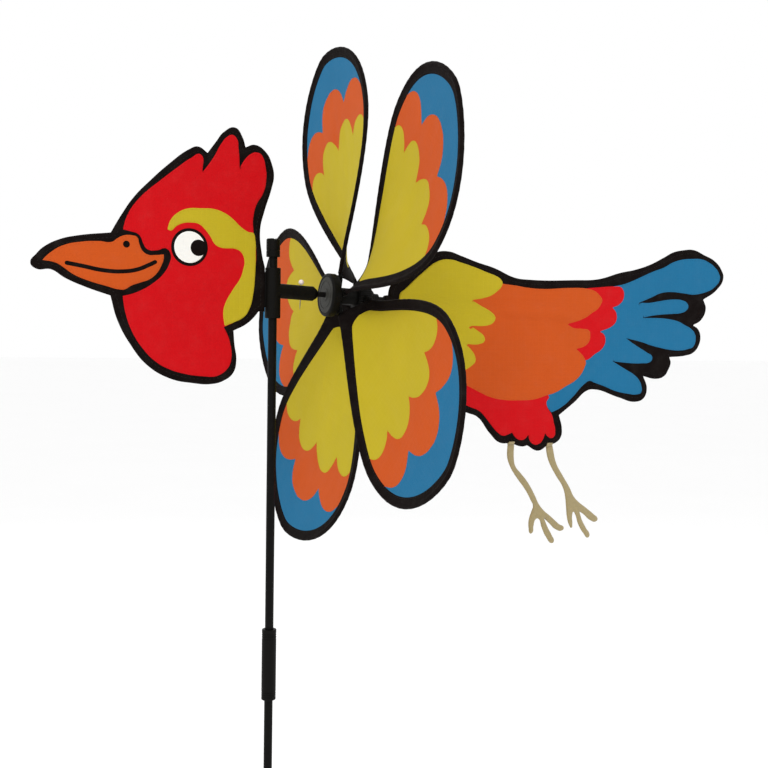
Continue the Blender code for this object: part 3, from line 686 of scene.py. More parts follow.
def shell(verts, faces, front, back, groups=0):
    """A closed shell between the front and back places of a flat cut."""
    rim = edge_points(faces, len(verts))
    number = np.arange(len(verts))
    number[~rim] = len(verts) + np.arange(int((~rim).sum()))
    places = np.vstack([front, back[~rim]])
    marks = np.vstack([verts, verts[~rim]])
    marks = np.c_[marks, np.zeros(len(marks))]
    both = np.vstack([faces[:, ::-1], number[faces]])
    groups = np.broadcast_to(groups, len(faces))
    return places, marks, both.tolist(), np.r_[groups, groups]


def wrinkle(points, length, seed):
    """Smooth unevenness from about -1 to 1, in waves of the given length."""
    return np.array([noise.noise(Vector((x / length, z / length, seed))) for x, z in points])


def smooth_step(value, start, end):
    share = np.clip((value - start) / (end - start), 0, 1)
    return share * share * (3 - 2 * share)


# ---------------------------------------------------------------- stitches

def stitch_ends(line):
    """Where each stitch along a line starts and ends."""
    step = np.linalg.norm(np.diff(line, axis=0), axis=1)
    length = np.r_[0, np.cumsum(step)]
    starts = np.arange(0.001, length[-1] - STITCH, STITCH_PITCH)
    begin, end = (np.c_[np.interp(place, length, line[:, 0]), np.interp(place, length, line[:, 1])]
                  for place in (starts, starts + STITCH))
    straight = np.linalg.norm(end - begin, axis=1) > STITCH * 0.6
    return begin[straight], end[straight]


def spindle_faces():
    """Triangles of one stitch: a point, three rings of thread and another point."""
    faces = []
    for j in range(STITCH_SIDES):
        k = (j + 1) % STITCH_SIDES
        faces.append([0, 1 + k, 1 + j])
        for a in (1, 1 + STITCH_SIDES):
            b = a + STITCH_SIDES
            faces += [[a + j, a + k, b + k], [a + j, b + k, b + j]]
        last = 1 + 2 * STITCH_SIDES
        faces.append([last + j, last + k, last + STITCH_SIDES])
    return faces


def spindle(start, end):
    """Places of one stitch from its start to its end."""
    along = (end - start) / np.linalg.norm(end - start)
    side = np.cross(along, SLANTED)
    side /= np.linalg.norm(side)
    up = np.cross(along, side)
    rows = [[start]]
    for share, size in ((0.12, 0.8), (0.5, 1), (0.88, 0.8)):
        centre = start + (end - start) * share
        rows.append([centre + STITCH_RADIUS * size * (side * math.cos(t) + up * math.sin(t))
                     for t in turns(STITCH_SIDES)])
    return np.vstack([*rows, [end]])


def build_stitching(name, stitches, body, matrix=Matrix()):
    """Small spindles of thread; each stitch is (start, end, finish of its thread)."""
    finishes = list(dict.fromkeys(finish for _, _, finish in stitches))
    faces = spindle_faces()
    shells = []
    for start, end, finish in stitches:
        places = spindle(start, end)
        shells.append((places, places, faces, finishes.index(finish)))
    mesh = make_mesh(name, shells)
    mesh.transform(matrix)
    return add_piece(name, mesh, finishes, body)


# ---------------------------------------------------------------- the bird's two panels

class Panel:
    """A black cloth panel in the bird's plane, with colours sewn on both of its faces."""

    def __init__(self, outline, seed, pocket=False, sway=0.0):
        self.loop = cut_line(outline)
        self.seed = seed
        self.pocket = pocket
        self.sway = sway

    def middle(self, points):
        """How far the cloth hangs to one side of the bird's plane."""
        x, z = points.T
        tail = smooth_step(x, 0.345, 0.50)
        wave = np.sin((x - 0.34) / 0.085 + z / 0.07) * self.sway * tail
        return wave + wrinkle(points, 0.075, self.seed) * 0.0012 * (0.3 + 0.7 * tail)

    def half(self, points):
        """Half the cloth's thickness, with its rounded edge, spar pocket and puckers."""
        gap, place = nearest(points, self.loop)
        pucker = 0.00016 * np.sin(place / 0.0021) * np.exp(-((gap - 0.006) / 0.004) ** 2)
        half = PANEL_DEPTH + pucker + 0.0003 * wrinkle(points, 0.022, self.seed + 7)
        if self.pocket:
            half = half + self.ridge(points)
        return half * rounded(gap, EDGE_ROUND)

    def ridge(self, points):
        """The cloth lifted by the spar inside its pocket."""
        along = points @ np.array([SPAR.x, SPAR.z])
        off = points @ np.array([DOWN.x, DOWN.z])
        opened = smooth_step(along, POCKET_START - 0.012, POCKET_START)
        closed = smooth_step(along, POCKET_END - 0.004, POCKET_END + 0.012)
        return POCKET_HEIGHT * np.exp(-(off / POCKET_WIDTH) ** 4) * opened * (1 - closed)

    def places(self, points, offset):
        """World places for flat points, offset towards -Y from the cloth's middle."""
        y = self.middle(points) - offset
        return np.c_[points[:, 0] + TEE.x, y + TEE.y, points[:, 1] + TEE.z]

    def base(self):
        verts, faces = cut(self.loop, CUT_STEP, (0.0004, 0.0011, 0.0023))
        half = self.half(verts)
        return [shell(verts, faces, self.places(verts, half), self.places(verts, -half))]

    def colour(self, loop, level):
        """One colour sewn on both faces: its edge turned under, a higher level on top."""
        verts, faces = cut(loop, CUT_STEP, (0.0004, 0.0010, 0.0021))
        half = self.half(verts)
        gap, _ = nearest(verts, loop)
        top = half + (LAYER + LEVEL_STEP * level) * rounded(gap, 0.0012) - LAYER_SUNK
        under = half - LAYER_UNDER
        return [shell(verts, faces, self.places(verts, top), self.places(verts, under)),
                shell(verts, faces[:, ::-1], self.places(verts, -top),
                      self.places(verts, -under))]

    def sewing(self, loop, level, finish, inward=STITCH_INSET, covers=()):
        """Stitches on both faces along the inside of a colour's edge, where nothing covers it."""
        line = inset_loop(loop, inward)
        starts, ends = stitch_ends(np.vstack([line, line[:1]]))
        for cover in covers:
            shown = ~(inside(starts, cover) | inside(ends, cover))
            starts, ends = starts[shown], ends[shown]
        lift = LAYER + LEVEL_STEP * level - LAYER_SUNK
        stitches = []
        for side in (1, -1):
            a, b = (self.places(points, side * (self.half(points) + lift))
                    for points in (starts, ends))
            stitches += [(start, end, finish) for start, end in zip(a, b)]
        return stitches


def cut_line(knots):
    return even_loop(smooth_loop(knots), CUT_STEP)


def build_panel(name, panel, colours):
    """A panel with its colours and sewing; colours are (name, finish, loop, level, stitched)."""
    base = add_piece(f"{name}_cloth", make_mesh(f"{name}_cloth", panel.base()), ["black"],
                     "vane", [f"{name}_panel"])
    pieces = []
    stitches = panel.sewing(panel.loop, -1, "thread", HEM_STITCH_INSET)
    for order, (part, finish, loop, level, stitched) in enumerate(colours):
        mesh = make_mesh(f"{name}_{part}", panel.colour(loop, level))
        pieces.append(add_piece(f"{name}_{part}", mesh, [finish], "vane"))
        if stitched:
            covers = [colour[2] for colour in colours[order + 1:]]
            stitches += panel.sewing(loop, level, finish, covers=covers)
    pieces.append(build_stitching(f"{name}_stitching", stitches, "vane"))
    return base, pieces


def build_head():
    panel = Panel(HEAD, 3.1)
    colours = [
        ("red", "red", cut_line(HEAD_RED), 0, True),
        ("beak", "orange", cut_line(BEAK), 0, True),
        ("crescent", "yellow", cut_line(HEAD_CRESCENT), 1, True),
        ("eye_ring", "black", ring(EYE, EYE_RING), 2, False),
        ("eye_white", "white", ring(EYE, EYE_WHITE), 3, False),
        ("pupil", "black", ring(PUPIL, PUPIL_RADIUS, 32), 4, False),
        ("mouth", "black", stroke(MOUTH, MOUTH_WIDTH), 1, False),
        ("nostril", "black", ring(NOSTRIL, NOSTRIL_RADIUS, 24), 1, False),
    ]
    base, pieces = build_panel("head", panel, colours)
    flat_size(panel.loop)
    flat_area(panel.loop)
    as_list(pieces)


def build_body():
    panel = Panel(BODY, 9.4, pocket=True, sway=0.0035)
    colours = [
        ("blue", "blue", cut_line(BODY_BLUE), 0, True),
        ("skirt", "red", cut_line(BODY_SKIRT), 1, True),
        ("band", "red", cut_line(BODY_RED), 1, True),
        ("orange", "orange", cut_line(BODY_ORANGE), 2, True),
        ("yellow", "yellow", cut_line(BODY_YELLOW), 3, True),
    ]
    base, pieces = build_panel("body", panel, colours)
    pieces.append(turned("body_pocket_mouth", POCKET_MOUTH, "black", "vane", SPAR_FRAME))
    pieces += [build_tab(leg, panel) for leg in LEGS]
    flat_size(panel.loop)
    flat_area(panel.loop)
    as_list(pieces)


# ---------------------------------------------------------------- felt legs

def build_leg(leg):
    """A felt leg, which hangs from its tab; its sheet is narrower than the spread toes."""
    loop = even_loop(smooth_loop(LEGS[leg]), FELT_STEP)
    verts, faces = cut(loop, FELT_STEP, (0.0005, 0.0012))
    gap, _ = nearest(verts, loop)
    half = LEG_DEPTH * rounded(gap, 0.0011) * (1 + 0.10 * wrinkle(verts, 0.007, 4.4))
    bend = 0.0006 * wrinkle(verts, 0.035, 8.8) * smooth_step(-verts[:, 1], 0.156, 0.19)
    front, back = (np.c_[verts[:, 0], bend + side * half, verts[:, 1]] + np.array(TEE)
                   for side in (-1, 1))
    name = f"{leg}_felt"
    piece = add_piece(name, make_mesh(name, [shell(verts, faces, front, back)]), ["felt"], leg,
                      [leg])
    width, length = flat_size(loop)
    area = flat_area(loop)
    min(width, area / LEAST_FILL / length)


def build_tab(leg, panel):
    """The short end of a leg that is sewn to the body panel, above where the leg bends."""
    left, right = (np.array(LEGS[leg][end][:2]) * MM for end in (0, -1))
    near_leg = (panel.loop[:, 0] > left[0]) & (panel.loop[:, 0] < right[0])
    rim = panel.loop[near_leg & (panel.loop[:, 1] < left[1] + TAB_SEARCH)]
    top = rim[:, 1].max() + TAB_OVERLAP
    knots = [left - (0, TAB_UNDER), right - (0, TAB_UNDER), (right[0], top - TAB_CORNER),
             (right[0] - TAB_CORNER, top), (left[0] + TAB_CORNER, top),
             (left[0], top - TAB_CORNER)]
    loop = even_loop(np.array(knots), 0.0012)
    verts, faces = cut(loop, 0.0018, (0.0004, 0.0009))
    gap, _ = nearest(verts, loop)
    hinge = (left[1] + right[1]) / 2
    rise = np.maximum(panel.half(verts), 0.0002) * smooth_step(verts[:, 1], hinge, top)
    half = LEG_DEPTH * rounded(gap, 0.0008) + rise
    half[gap < 1e-6] = 0
    made = shell(verts, faces, panel.places(verts, half), panel.places(verts, -half))
    return add_piece(f"{leg}_tab", make_mesh(f"{leg}_tab", [made]), ["felt"], "vane")


# ---------------------------------------------------------------- the wheel's petals

def bezier(a, b, c, d, t):
    t = t[:, None]
    return a * (1 - t) ** 3 + 3 * b * t * (1 - t) ** 2 + 3 * c * t ** 2 * (1 - t) + d * t ** 3


def half_petal():
    """Places (reach, half width) along one side of a petal, and how far its inset has grown."""
    direction = np.array([math.cos(ROOT_ANGLE), math.sin(ROOT_ANGLE)])
    root = direction * ROOT_REACH
    wide = np.array([WIDE_PLACE, HALF_WIDTH])
    tip = np.array([PETAL_REACH, 0.0])
    t = np.arange(ARC_POINTS) / ARC_POINTS
    inner = bezier(root, root + direction * ROOT_HANDLE, wide - (WIDE_HANDLE_IN, 0), wide, t)
    t_end = np.arange(ARC_POINTS + 1) / ARC_POINTS
    outer = bezier(wide, wide + (WIDE_HANDLE_OUT, 0), tip + (0, TIP_HANDLE), tip, t_end)
    grown = np.r_[np.clip(t / INSET_FADE, 0, 1), np.ones(ARC_POINTS + 1)]
    return np.vstack([inner, outer]), grown


def moved_inwards(line, distance):
    """One side of a petal, moved towards the petal's middle."""
    along = np.gradient(line, axis=0)
    along[-1] = (0, -1)
    along = unit(along)
    return line + np.c_[along[:, 1], -along[:, 0]] * np.reshape(distance, (-1, 1))


def rod_side():
    """The rod's line: it leaves the socket on the petal's edge and then lies just inside."""
    line, grown = half_petal()
    return moved_inwards(line, ROD_INSET * grown)


ROD_SIDE = rod_side()
ROD_LENGTHS = np.linalg.norm(np.diff(ROD_SIDE, axis=0), axis=1)
ROD_SHARES = np.r_[0, np.cumsum(ROD_LENGTHS)] / ROD_LENGTHS.sum() / 2


def side_line(distance):
    """A line at a distance inside the petal's edge."""
    return moved_inwards(ROD_SIDE, distance - ROD_INSET)


def both_sides(line):
    """The whole loop: out along one side of the petal and back along the other."""
    return np.vstack([line, line[-2::-1] * (1, -1)])


def leaned(places, number):
    """A petal's places as its rods lean: sideways round the hub, and along the spar."""
    turn, push = LEANS[number]
    share = np.clip((places[:, 1] - ROOT_REACH) / (PETAL_REACH - ROOT_REACH), 0, 1)
    angle = math.radians(turn) * share
    x, y, z = places.T
    return np.c_[x * np.cos(angle) - y * np.sin(angle), x * np.sin(angle) + y * np.cos(angle),
                 z + push * share ** 2]


def sail_surface(flat, number):
    """Places in the wheel's frame of flat places (reach, width) on a petal."""
    seed = number * 3.7
    reach, width = flat.T
    share = np.interp(reach, ROD_SIDE[:, 0], ROD_SHARES)
    half_width = np.interp(reach, ROD_SIDE[:, 0], ROD_SIDE[:, 1])
    across = np.clip(width / np.maximum(half_width, 0.001), -1.02, 1.02)
    twist = 0.5 + (share - 0.5) * across
    length = np.clip((reach - SAIL_ROOT) / (PETAL_REACH - SAIL_ROOT), 0, 1)
    crown = (1 - across ** 2) * np.sin(np.pi * length)
    belly = BELLY * crown + 0.0022 * crown * wrinkle(flat, 0.055, seed)
    pull = 0.0009 * crown * wrinkle(flat * (1, 2.4), 0.030, seed + 5)
    depth = FRONT_ROOT + (REAR_ROOT - FRONT_ROOT) * twist + belly + pull
    return leaned(np.c_[-width, reach, depth], number)


def surface_normals(flat, number):
    step = 0.0005
    right = sail_surface(flat + (step, 0), number) - sail_surface(flat - (step, 0), number)
    up = sail_surface(flat + (0, step), number) - sail_surface(flat - (0, step), number)
    return unit(np.cross(right, up))


def petal_matrix(number):
    return SPAR_FRAME @ Matrix.Rotation(2 * math.pi * number / PETALS, 4, "Z")


def petal_piece(part, number, shells, finishes, replaced=(), ends=False):
    """One piece of a petal, turned to the petal's place on the wheel."""
    name = f"petal_{part}_{number + 1}"
    mesh = make_mesh(name, shells)
    if ends:
        close_ends(mesh)
    mesh.transform(petal_matrix(number))
    return add_piece(name, mesh, finishes, "wheel", [f"{node}_{number + 1}" for node in replaced])


def scallops(half):
    """A sail's scalloped seam from one edge of the petal to the other."""
    line = even_loop(smooth_loop(half, closed=False), CUT_STEP, closed=False)
    return np.vstack([line[::-1] * (1, -1), line[1:]])


def region(seam):
    """The closed area on the hub's side of a seam."""
    return np.vstack([seam, [[0, seam[-1, 1]], [0, seam[0, 1]]]])


def clip_line(line, loop):
    """The middle stretch of a line that lies inside a loop."""
    within = inside(line, loop)
    first, last = np.argmax(within), len(line) - np.argmax(within[::-1])
    return line[first:last]


def sail_outline():
    side = side_line(SAIL_EDGE)
    return even_loop(both_sides(side[side[:, 0] > SAIL_ROOT]), SAIL_EDGE_STEP)


def build_sail(number, seams, cut_shape):
    verts, faces = cut_shape
    surface = sail_surface(verts, number)
    normal = surface_normals(verts, number) * SAIL_THICKNESS / 2
    middles = verts[faces].mean(axis=1)
    groups = sum(inside(middles, region(seam)).astype(int) for seam in seams)
    made = shell(verts, faces, surface + normal, surface - normal, groups)
    return petal_piece("sail_cloth", number, [made], ["blue", "orange", "yellow"],
                       ["petal_sail"])


def hem_rings(number):
    """The hem's cross-section at each place along the loop: round the rod, then two plies."""
    rod = both_sides(ROD_SIDE)
    centre = sail_surface(rod, number)
    plies = []
    for distance, depth in HEM_PLIES:
        flat = both_sides(side_line(distance))
        plies.append((sail_surface(flat, number), surface_normals(flat, number), depth))
    first_row, first_normal, _ = plies[0]
    inward = unit(first_row - centre)
    up = unit(np.cross(unit(np.gradient(centre, axis=0)), inward))
    up *= np.sign(np.sum(up * first_normal, axis=1))[:, None]
    places = np.r_[0, np.cumsum(np.linalg.norm(np.diff(centre, axis=0), axis=1))]
    radius = HEM_RADIUS * (1 + 0.05 * np.sin(places / 0.0017))[:, None]
    rings = [centre + radius * (inward * math.cos(turn) + up * math.sin(turn))
             for turn in np.radians(np.arange(50, 311, 26))]
    rings += [row - normal * depth for row, normal, depth in plies]
    rings += [row + normal * depth for row, normal, depth in reversed(plies)]
    keep = rod[:, 0] > HEM_ROOT
    return np.stack(rings, axis=1)[keep], places[keep]


def tube_faces(count, size):
    """Faces between rings of points, each ring a closed loop."""
    return [[i * size + j, i * size + (j + 1) % size, (i + 1) * size + (j + 1) % size,
             (i + 1) * size + j] for i in range(count - 1) for j in range(size)]


def build_hem(number):
    """The black hem, folded round the rod and open at the hub."""
    rings, places = hem_rings(number)
    count, size = rings.shape[:2]
    around = np.arange(size) * 0.0011
    marks = np.array([(place, turn, 0) for place in places for turn in around])
    made = (rings.reshape(-1, 3), marks, tube_faces(count, size), 0)
    return petal_piece("hem", number, [made], ["black"], ends=True)


def build_sail_stitching(number, seams):
    stitches = []
    hem_line = both_sides(side_line(HEM_WIDTH - 0.0016))
    hem_line = hem_line[hem_line[:, 0] > SAIL_ROOT + 0.004]
    lines = [(hem_line, 0.00062, "thread"), (seams[0], 0.0002, "orange"),
             (seams[1], 0.0002, "yellow")]
    for line, rise, finish in lines:
        flats = stitch_ends(line)
        for side in (1, -1):
            a, b = (sail_surface(flat, number) + surface_normals(flat, number) * rise * side
                    for flat in flats)
            stitches += [(start, end, finish) for start, end in zip(a, b)]
    return build_stitching(f"petal_stitching_{number + 1}", stitches, "wheel",
                           petal_matrix(number))


def build_root(number):
    """The black cloth that joins a petal's two hems next to the hub."""
    half = smooth_loop(SAIL_ROOT_PATCH, closed=False)
    loop = even_loop(np.vstack([half, half[-2:0:-1] * (1, -1)]), 0.002)
    verts, faces = cut(loop, 0.0022, (0.0004, 0.0009))
    gap, _ = nearest(verts, loop)
    surface = sail_surface(verts, number)
    rise = surface_normals(verts, number) * (0.0008 * rounded(gap, 0.0009))[:, None]
    made = shell(verts, faces, surface + rise, surface - rise)
    return petal_piece("root", number, [made], ["black"])


def build_petals():
    outline = sail_outline()
    seams = [clip_line(scallops(half), outline) for half in (SAIL_ORANGE, SAIL_YELLOW)]
    cut_shape = cut(outline, 0.0042, (), seams)
    for number in range(PETALS):
        sail = build_sail(number, seams, cut_shape)
        parts = [build_hem(number), build_sail_stitching(number, seams), build_root(number)]
        flat_size(outline)
        flat_area(outline)


def build_rods():
    """Each petal's glass-fibre rod, from one socket round to the other."""
    line = both_sides(ROD_SIDE)
    shares = np.r_[ROD_SHARES, 1 - ROD_SHARES[-2::-1]]
    depth = FRONT_ROOT + (REAR_ROOT - FRONT_ROOT) * shares
    x, y = np.array([math.sin(ROOT_ANGLE), math.cos(ROOT_ANGLE)]) * ROD_START
    route = np.vstack([[-x, y, FRONT_ROOT], np.c_[-line[:, 1], line[:, 0], depth],
                       [x, y, REAR_ROOT]])
    faces = tube_faces(len(route), ROD_SIDES)
    for number in range(PETALS):
        centres = leaned(route, number)
        along = unit(np.gradient(centres, axis=0))
        side = unit(np.cross(along, (0, 0, 1.0)))
        up = np.cross(side, along)
        rings = np.stack([centres + ROD_RADIUS * (side * math.cos(t) + up * math.sin(t))
                          for t in turns(ROD_SIDES)], axis=1)
        places = rings.reshape(-1, 3)
        rod = petal_piece("frame_rod", number, [(places, places, faces, 0)], ["rod"],
                          ["petal_rod"], ends=True)
        rod.data.set_sharp_from_angle(angle=SHARP)


# ---------------------------------------------------------------- turned parts

def turned_shell(profile, steps, flutes):
    """A shell turned round Z; flutes are (count, depth, low, high)."""
    angles = turns(steps)
    places, rows = [], []
    for radius, place in profile:
        if radius == 0:
            rows.append([len(places)])
            places.append((0, 0, place))
            continue
        radii = np.full(steps, radius)
        if flutes and flutes[2] <= place <= flutes[3]:
            radii = radius - flutes[1] * (0.5 - 0.5 * np.cos(angles * flutes[0]))
        rows.append(list(range(len(places), len(places) + steps)))
        places += [(r * math.cos(t), r * math.sin(t), place) for r, t in zip(radii, angles)]
    faces = []
    for upper, lower in zip(rows, rows[1:] + rows[:1]):
        if len(upper) == len(lower) == 1:
            continue
        for j in range(steps):
            k = (j + 1) % steps
            if len(upper) == 1:
                faces.append([upper[0], lower[j], lower[k]])
            elif len(lower) == 1:
                faces.append([upper[j], lower[0], upper[k]])
            else:
                faces.append([upper[j], lower[j], lower[k], upper[k]])
    return places, places, faces, 0


def turned(name, profile, finish, body, matrix=Matrix(), replaced=(), flutes=None, steps=96):
    """A turned piece from (radius, place) pairs along its axis."""
    mesh = make_mesh(name, [turned_shell(profile, steps, flutes)])
    close_ends(mesh)
    mesh.set_sharp_from_angle(angle=SHARP)
    mesh.transform(matrix)
    return add_piece(name, mesh, [finish], body, replaced)


def arc(radius, place, size, start, end, steps=5):
    """Profile points round a corner, about (radius, place)."""
    angles = np.radians(np.linspace(start, end, steps + 1))
    return [(max(radius + size * math.cos(t), 0), place + size * math.sin(t)) for t in angles]


def top_edge(outer, top, bevel):
    return arc(outer - bevel, top - bevel, bevel, 90, 0)


def bottom_edge(outer, bottom, bevel):
    return arc(outer - bevel, bottom + bevel, bevel, 0, -90)


def top_mouth(inner, top, bevel):
    return arc(inner + bevel, top - bevel, bevel, 180, 90)


def bottom_mouth(inner, bottom, bevel):
    return arc(inner + bevel, bottom + bevel, bevel, -90, -180)


def rod_profile(radius, top, bottom, bevel):
    """A solid rod with rounded ends."""
    return ([(0, top)] + top_edge(radius, top, bevel) + bottom_edge(radius, bottom, bevel)
            + [(0, bottom)])


def tube_profile(outer, inner, top, bottom, bevel):
    """A tube with rounded outer and inner edges."""
    return (top_mouth(inner, top, bevel) + top_edge(outer, top, bevel)
            + bottom_edge(outer, bottom, bevel) + bottom_mouth(inner, bottom, bevel))


def groove(radius, top, depth, floor):
    """A shallow groove round a part, with sloping sides and a floor of the given width."""
    return [(radius, top), (radius - depth, top - depth), (radius - depth, top - depth - floor),
            (radius, top - 2 * depth - floor)]


def half_width(node):
    low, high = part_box(node)
    return (high[0] - low[0]) / 2


# ---------------------------------------------------------------- pole

def build_tubes():
    radius = half_width("lower_pole")
    for name, node, body in (("lower_tube", "lower_pole", "ground_pole"),
                             ("upper_tube", "upper_pole", "upper_pole")):
        low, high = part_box(node)
        turned(name, rod_profile(radius, high[2], low[2], BEVEL), "pole", body, replaced=[node])


def build_tip():
    """The pointed plastic tip that the lower tube stands in."""
    low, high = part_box("ground_tip")
    wide = half_width("ground_tip")
    bore = half_width("lower_pole") + FIT
    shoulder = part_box("lower_pole")[0][2]
    floor = shoulder - FIT
    profile = (top_mouth(bore, high[2], BEVEL) + top_edge(wide, high[2], BEVEL)
               + groove(wide, high[2] - 0.004, 0.0005, 0.0015)
               + arc(wide - TIP_ROUND, shoulder, TIP_ROUND, 0, -25)
               + arc(POINT_FLAT, low[2] + POINT_ROUND, POINT_ROUND, 0, -90)
               + [(0, low[2]), (0, floor), (bore, floor)])
    turned("pointed_tip", profile, "plastic", "ground_pole", replaced=["ground_tip"])


def build_ferrule():
    """The sleeve that joins the tubes, with three fine grooves near each end."""
    low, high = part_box("pole_ferrule")
    outer = half_width("pole_ferrule")
    bore = half_width("lower_pole") + FIT
    profile = top_mouth(bore, high[2], BEVEL) + top_edge(outer, high[2], BEVEL)
    for first in (high[2] - FERRULE_GROOVES_TOP, low[2] + FERRULE_GROOVES_BOTTOM):
        for number in range(3):
            profile += groove(outer, first - number * GROOVE_PITCH, GROOVE_DEPTH, GROOVE_DEPTH)
    profile += bottom_edge(outer, low[2], BEVEL) + bottom_mouth(bore, low[2], BEVEL)
    turned("joining_ferrule", profile, "plastic", "ground_pole", replaced=["pole_ferrule"])


def build_cap():
    """The cap on top of the pole, with a line groove, and a cord slot across its top."""
    low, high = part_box("pole_cap")
    radius = half_width("pole_cap")
    bore = half_width("upper_pole") + FIT
    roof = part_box("upper_pole")[1][2] + FIT
    profile = ([(0, high[2])] + top_edge(radius, high[2], 0.0014)
               + groove(radius, high[2] - 0.0105, FINE_GROOVE, FINE_GROOVE)
               + bottom_edge(radius, low[2], BEVEL) + bottom_mouth(bore, low[2], FINE_BEVEL)
               + [(bore, roof), (0, roof)])
    cap = turned("pole_top_cap", profile, "plastic", "upper_pole", replaced=["pole_cap"])
    across = Matrix.Translation((0, 0, high[2])) @ Matrix.Rotation(math.pi / 2, 4, "X")
    slot = rod_profile(CAP_SLOT, CUT_LENGTH, -CUT_LENGTH, CUT_BEVEL)
    combine(cap, tool("cap_slot", slot, across), "DIFFERENCE")


def build_stop_ring():
    low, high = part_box("stop_ring")
    bore = half_width("upper_pole") + FIT
    profile = tube_profile(half_width("stop_ring"), bore, high[2], low[2], FINE_BEVEL)
    turned("upper_stop_ring", profile, "plastic", "upper_pole", replaced=["stop_ring"])


# ---------------------------------------------------------------- swivel tee and pin

def tool(name, profile, matrix):
    """A turned shape that is only used to cut or join, and never shown."""
    return turned(name, profile, "plastic", "vane", matrix, steps=48)


def combine(piece, other, operation):
    """The piece joined with, or cut by, another that is then thrown away."""
    step = piece.modifiers.new(operation.lower(), "BOOLEAN")
    step.operation = operation
    step.object = other
    step.solver = "EXACT"
    bpy.context.view_layer.update()
    shaped = piece.evaluated_get(bpy.context.evaluated_depsgraph_get())
    mesh = bpy.data.meshes.new_from_object(shaped)
    piece.modifiers.clear()
    piece.data = mesh
    other_mesh = other.data
    bpy.data.objects.remove(other)
    bpy.data.meshes.remove(other_mesh)
    mesh.set_sharp_from_angle(angle=SHARP)


def build_tee():
    """The tee that turns on the pole: a barrel, a sleeve for the spar, a fin and four bores."""
    low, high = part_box("swivel_tee")
    upright = Matrix.Translation((TEE.x, TEE.y, 0))
    barrel = rod_profile(TEE_RADIUS, high[2], low[2], 0.0008)
    tee = turned("tee_block", barrel, "plastic", "vane", upright, ["swivel_tee"])
    sleeve = ([(0, SLEEVE_END)]
              + arc(SLEEVE_MOUTH, SLEEVE_END - BEVEL, BEVEL, 90, 30)
              + arc(SLEEVE_RADIUS - BEVEL, SLEEVE_END - SLEEVE_TAPER, BEVEL, 45, 0)
              + [(SLEEVE_RADIUS, 0), (0, 0)])
    combine(tee, tool("sleeve", sleeve, SPAR_FRAME), "UNION")
    combine(tee, build_fin(low[0]), "UNION")
    below = low[2] - CUT_PAST
    stop_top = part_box("stop_ring")[1][2] + FIT
    for name, radius, top, bottom, matrix in (
            ("bore", TEE_BORE, high[2] + CUT_PAST, below, upright),
            ("stop_pocket", STOP_POCKET, stop_top, below, upright),
            ("spar_socket", SPAR_SOCKET, SLEEVE_END + CUT_PAST, SPAR_SOCKET_FLOOR, SPAR_FRAME),
            ("pin_hole", PIN_HOLE, CUT_LENGTH, -CUT_LENGTH, pin_frame())):
        profile = rod_profile(radius, top, bottom, CUT_BEVEL)
        combine(tee, tool(name, profile, matrix), "DIFFERENCE")


def build_fin(edge):
    """The thin fin of the tee that the head's cloth is sewn to."""
    mesh = bpy.data.meshes.new("fin")
    cage = bmesh.new()
    size = Vector((TEE.x - edge, FIN_HALF * 2, FIN_TOP - FIN_BOTTOM))
    middle = Vector((TEE.x - size.x / 2, TEE.y, TEE.z + (FIN_TOP + FIN_BOTTOM) / 2))
    bmesh.ops.create_cube(cage, size=1,
                          matrix=Matrix.Translation(middle) @ Matrix.Diagonal((*size, 1)))
    bmesh.ops.bevel(cage, geom=cage.edges[:], offset=0.0003, segments=2, affect="EDGES")
    cage.to_mesh(mesh)
    cage.free()
    return add_piece("fin", mesh, ["plastic"], "vane")


def box_middle(node):
    low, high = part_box(node)
    return (Vector(low) + Vector(high)) / 2


def pin_frame():
    """The locking pin's frame: its Z runs up the needle, across the spar."""
    up = Vector(JOINTS["pin_pull"]["axis"]).normalized()
    side = Vector((0, 1, 0))
    place = TEE + SPAR * (box_middle("pin_head") - TEE).dot(SPAR)
    return (Matrix.Translation(place)
            @ Matrix((side.cross(up), side, up)).transposed().to_4x4())


def build_pin():
    """The dressmaker's pin that locks the spar: a pearl head on a steel needle."""
    frame_matrix = pin_frame()
    inverse = frame_matrix.inverted()
    low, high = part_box("pin_head")
    radius = (high[1] - low[1]) / 2
    middle = (inverse @ box_middle("pin_head")).z
    neck = middle - radius * 1.02
    ball = ([(0, middle + radius)] + arc(0, middle, radius, 84, -70, 14)
            + [(radius * 0.30, neck), (0, neck)])
    turned("pin_ball", ball, "pearl", "lock_pin", frame_matrix, ["pin_head"], steps=48)
    low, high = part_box("pin_shaft")
    middle = (inverse @ box_middle("pin_shaft")).z
    half = (high[2] - low[2]) / 2
    point, top = middle - half, middle + half
    needle = [(0, top), (NEEDLE_RADIUS, top), (NEEDLE_RADIUS, point + 0.004),
              (0.00012, point + 0.0002), (0, point)]
    turned("pin_needle", needle, "steel", "lock_pin", frame_matrix, ["pin_shaft"], steps=24)


# ---------------------------------------------------------------- spar and hub

def spar_range(node):
    """Where a node starts and ends along the spar, and its radius, from its box."""
    low, high = (Vector(corner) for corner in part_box(node))
    radius = (high.y - low.y) / 2
    tilt = math.sqrt(1 - SPAR.x ** 2)
    middle = (box_middle(node) - TEE).dot(SPAR)
    half = ((high.x - low.x) / 2 - radius * tilt) / SPAR.x
    return middle - half, middle + half, radius


def build_spar():
    start, end, radius = spar_range("spar")
    turned("spar_rod", rod_profile(radius, end, start, BEVEL), "rod", "vane", SPAR_FRAME,
           ["spar"], steps=48)
    start, end, outer = spar_range("spar_stop")
    turned("spar_stop_ring", tube_profile(outer, radius + FIT, end, start, BEVEL), "plastic",
           "vane", SPAR_FRAME, ["spar_stop"])


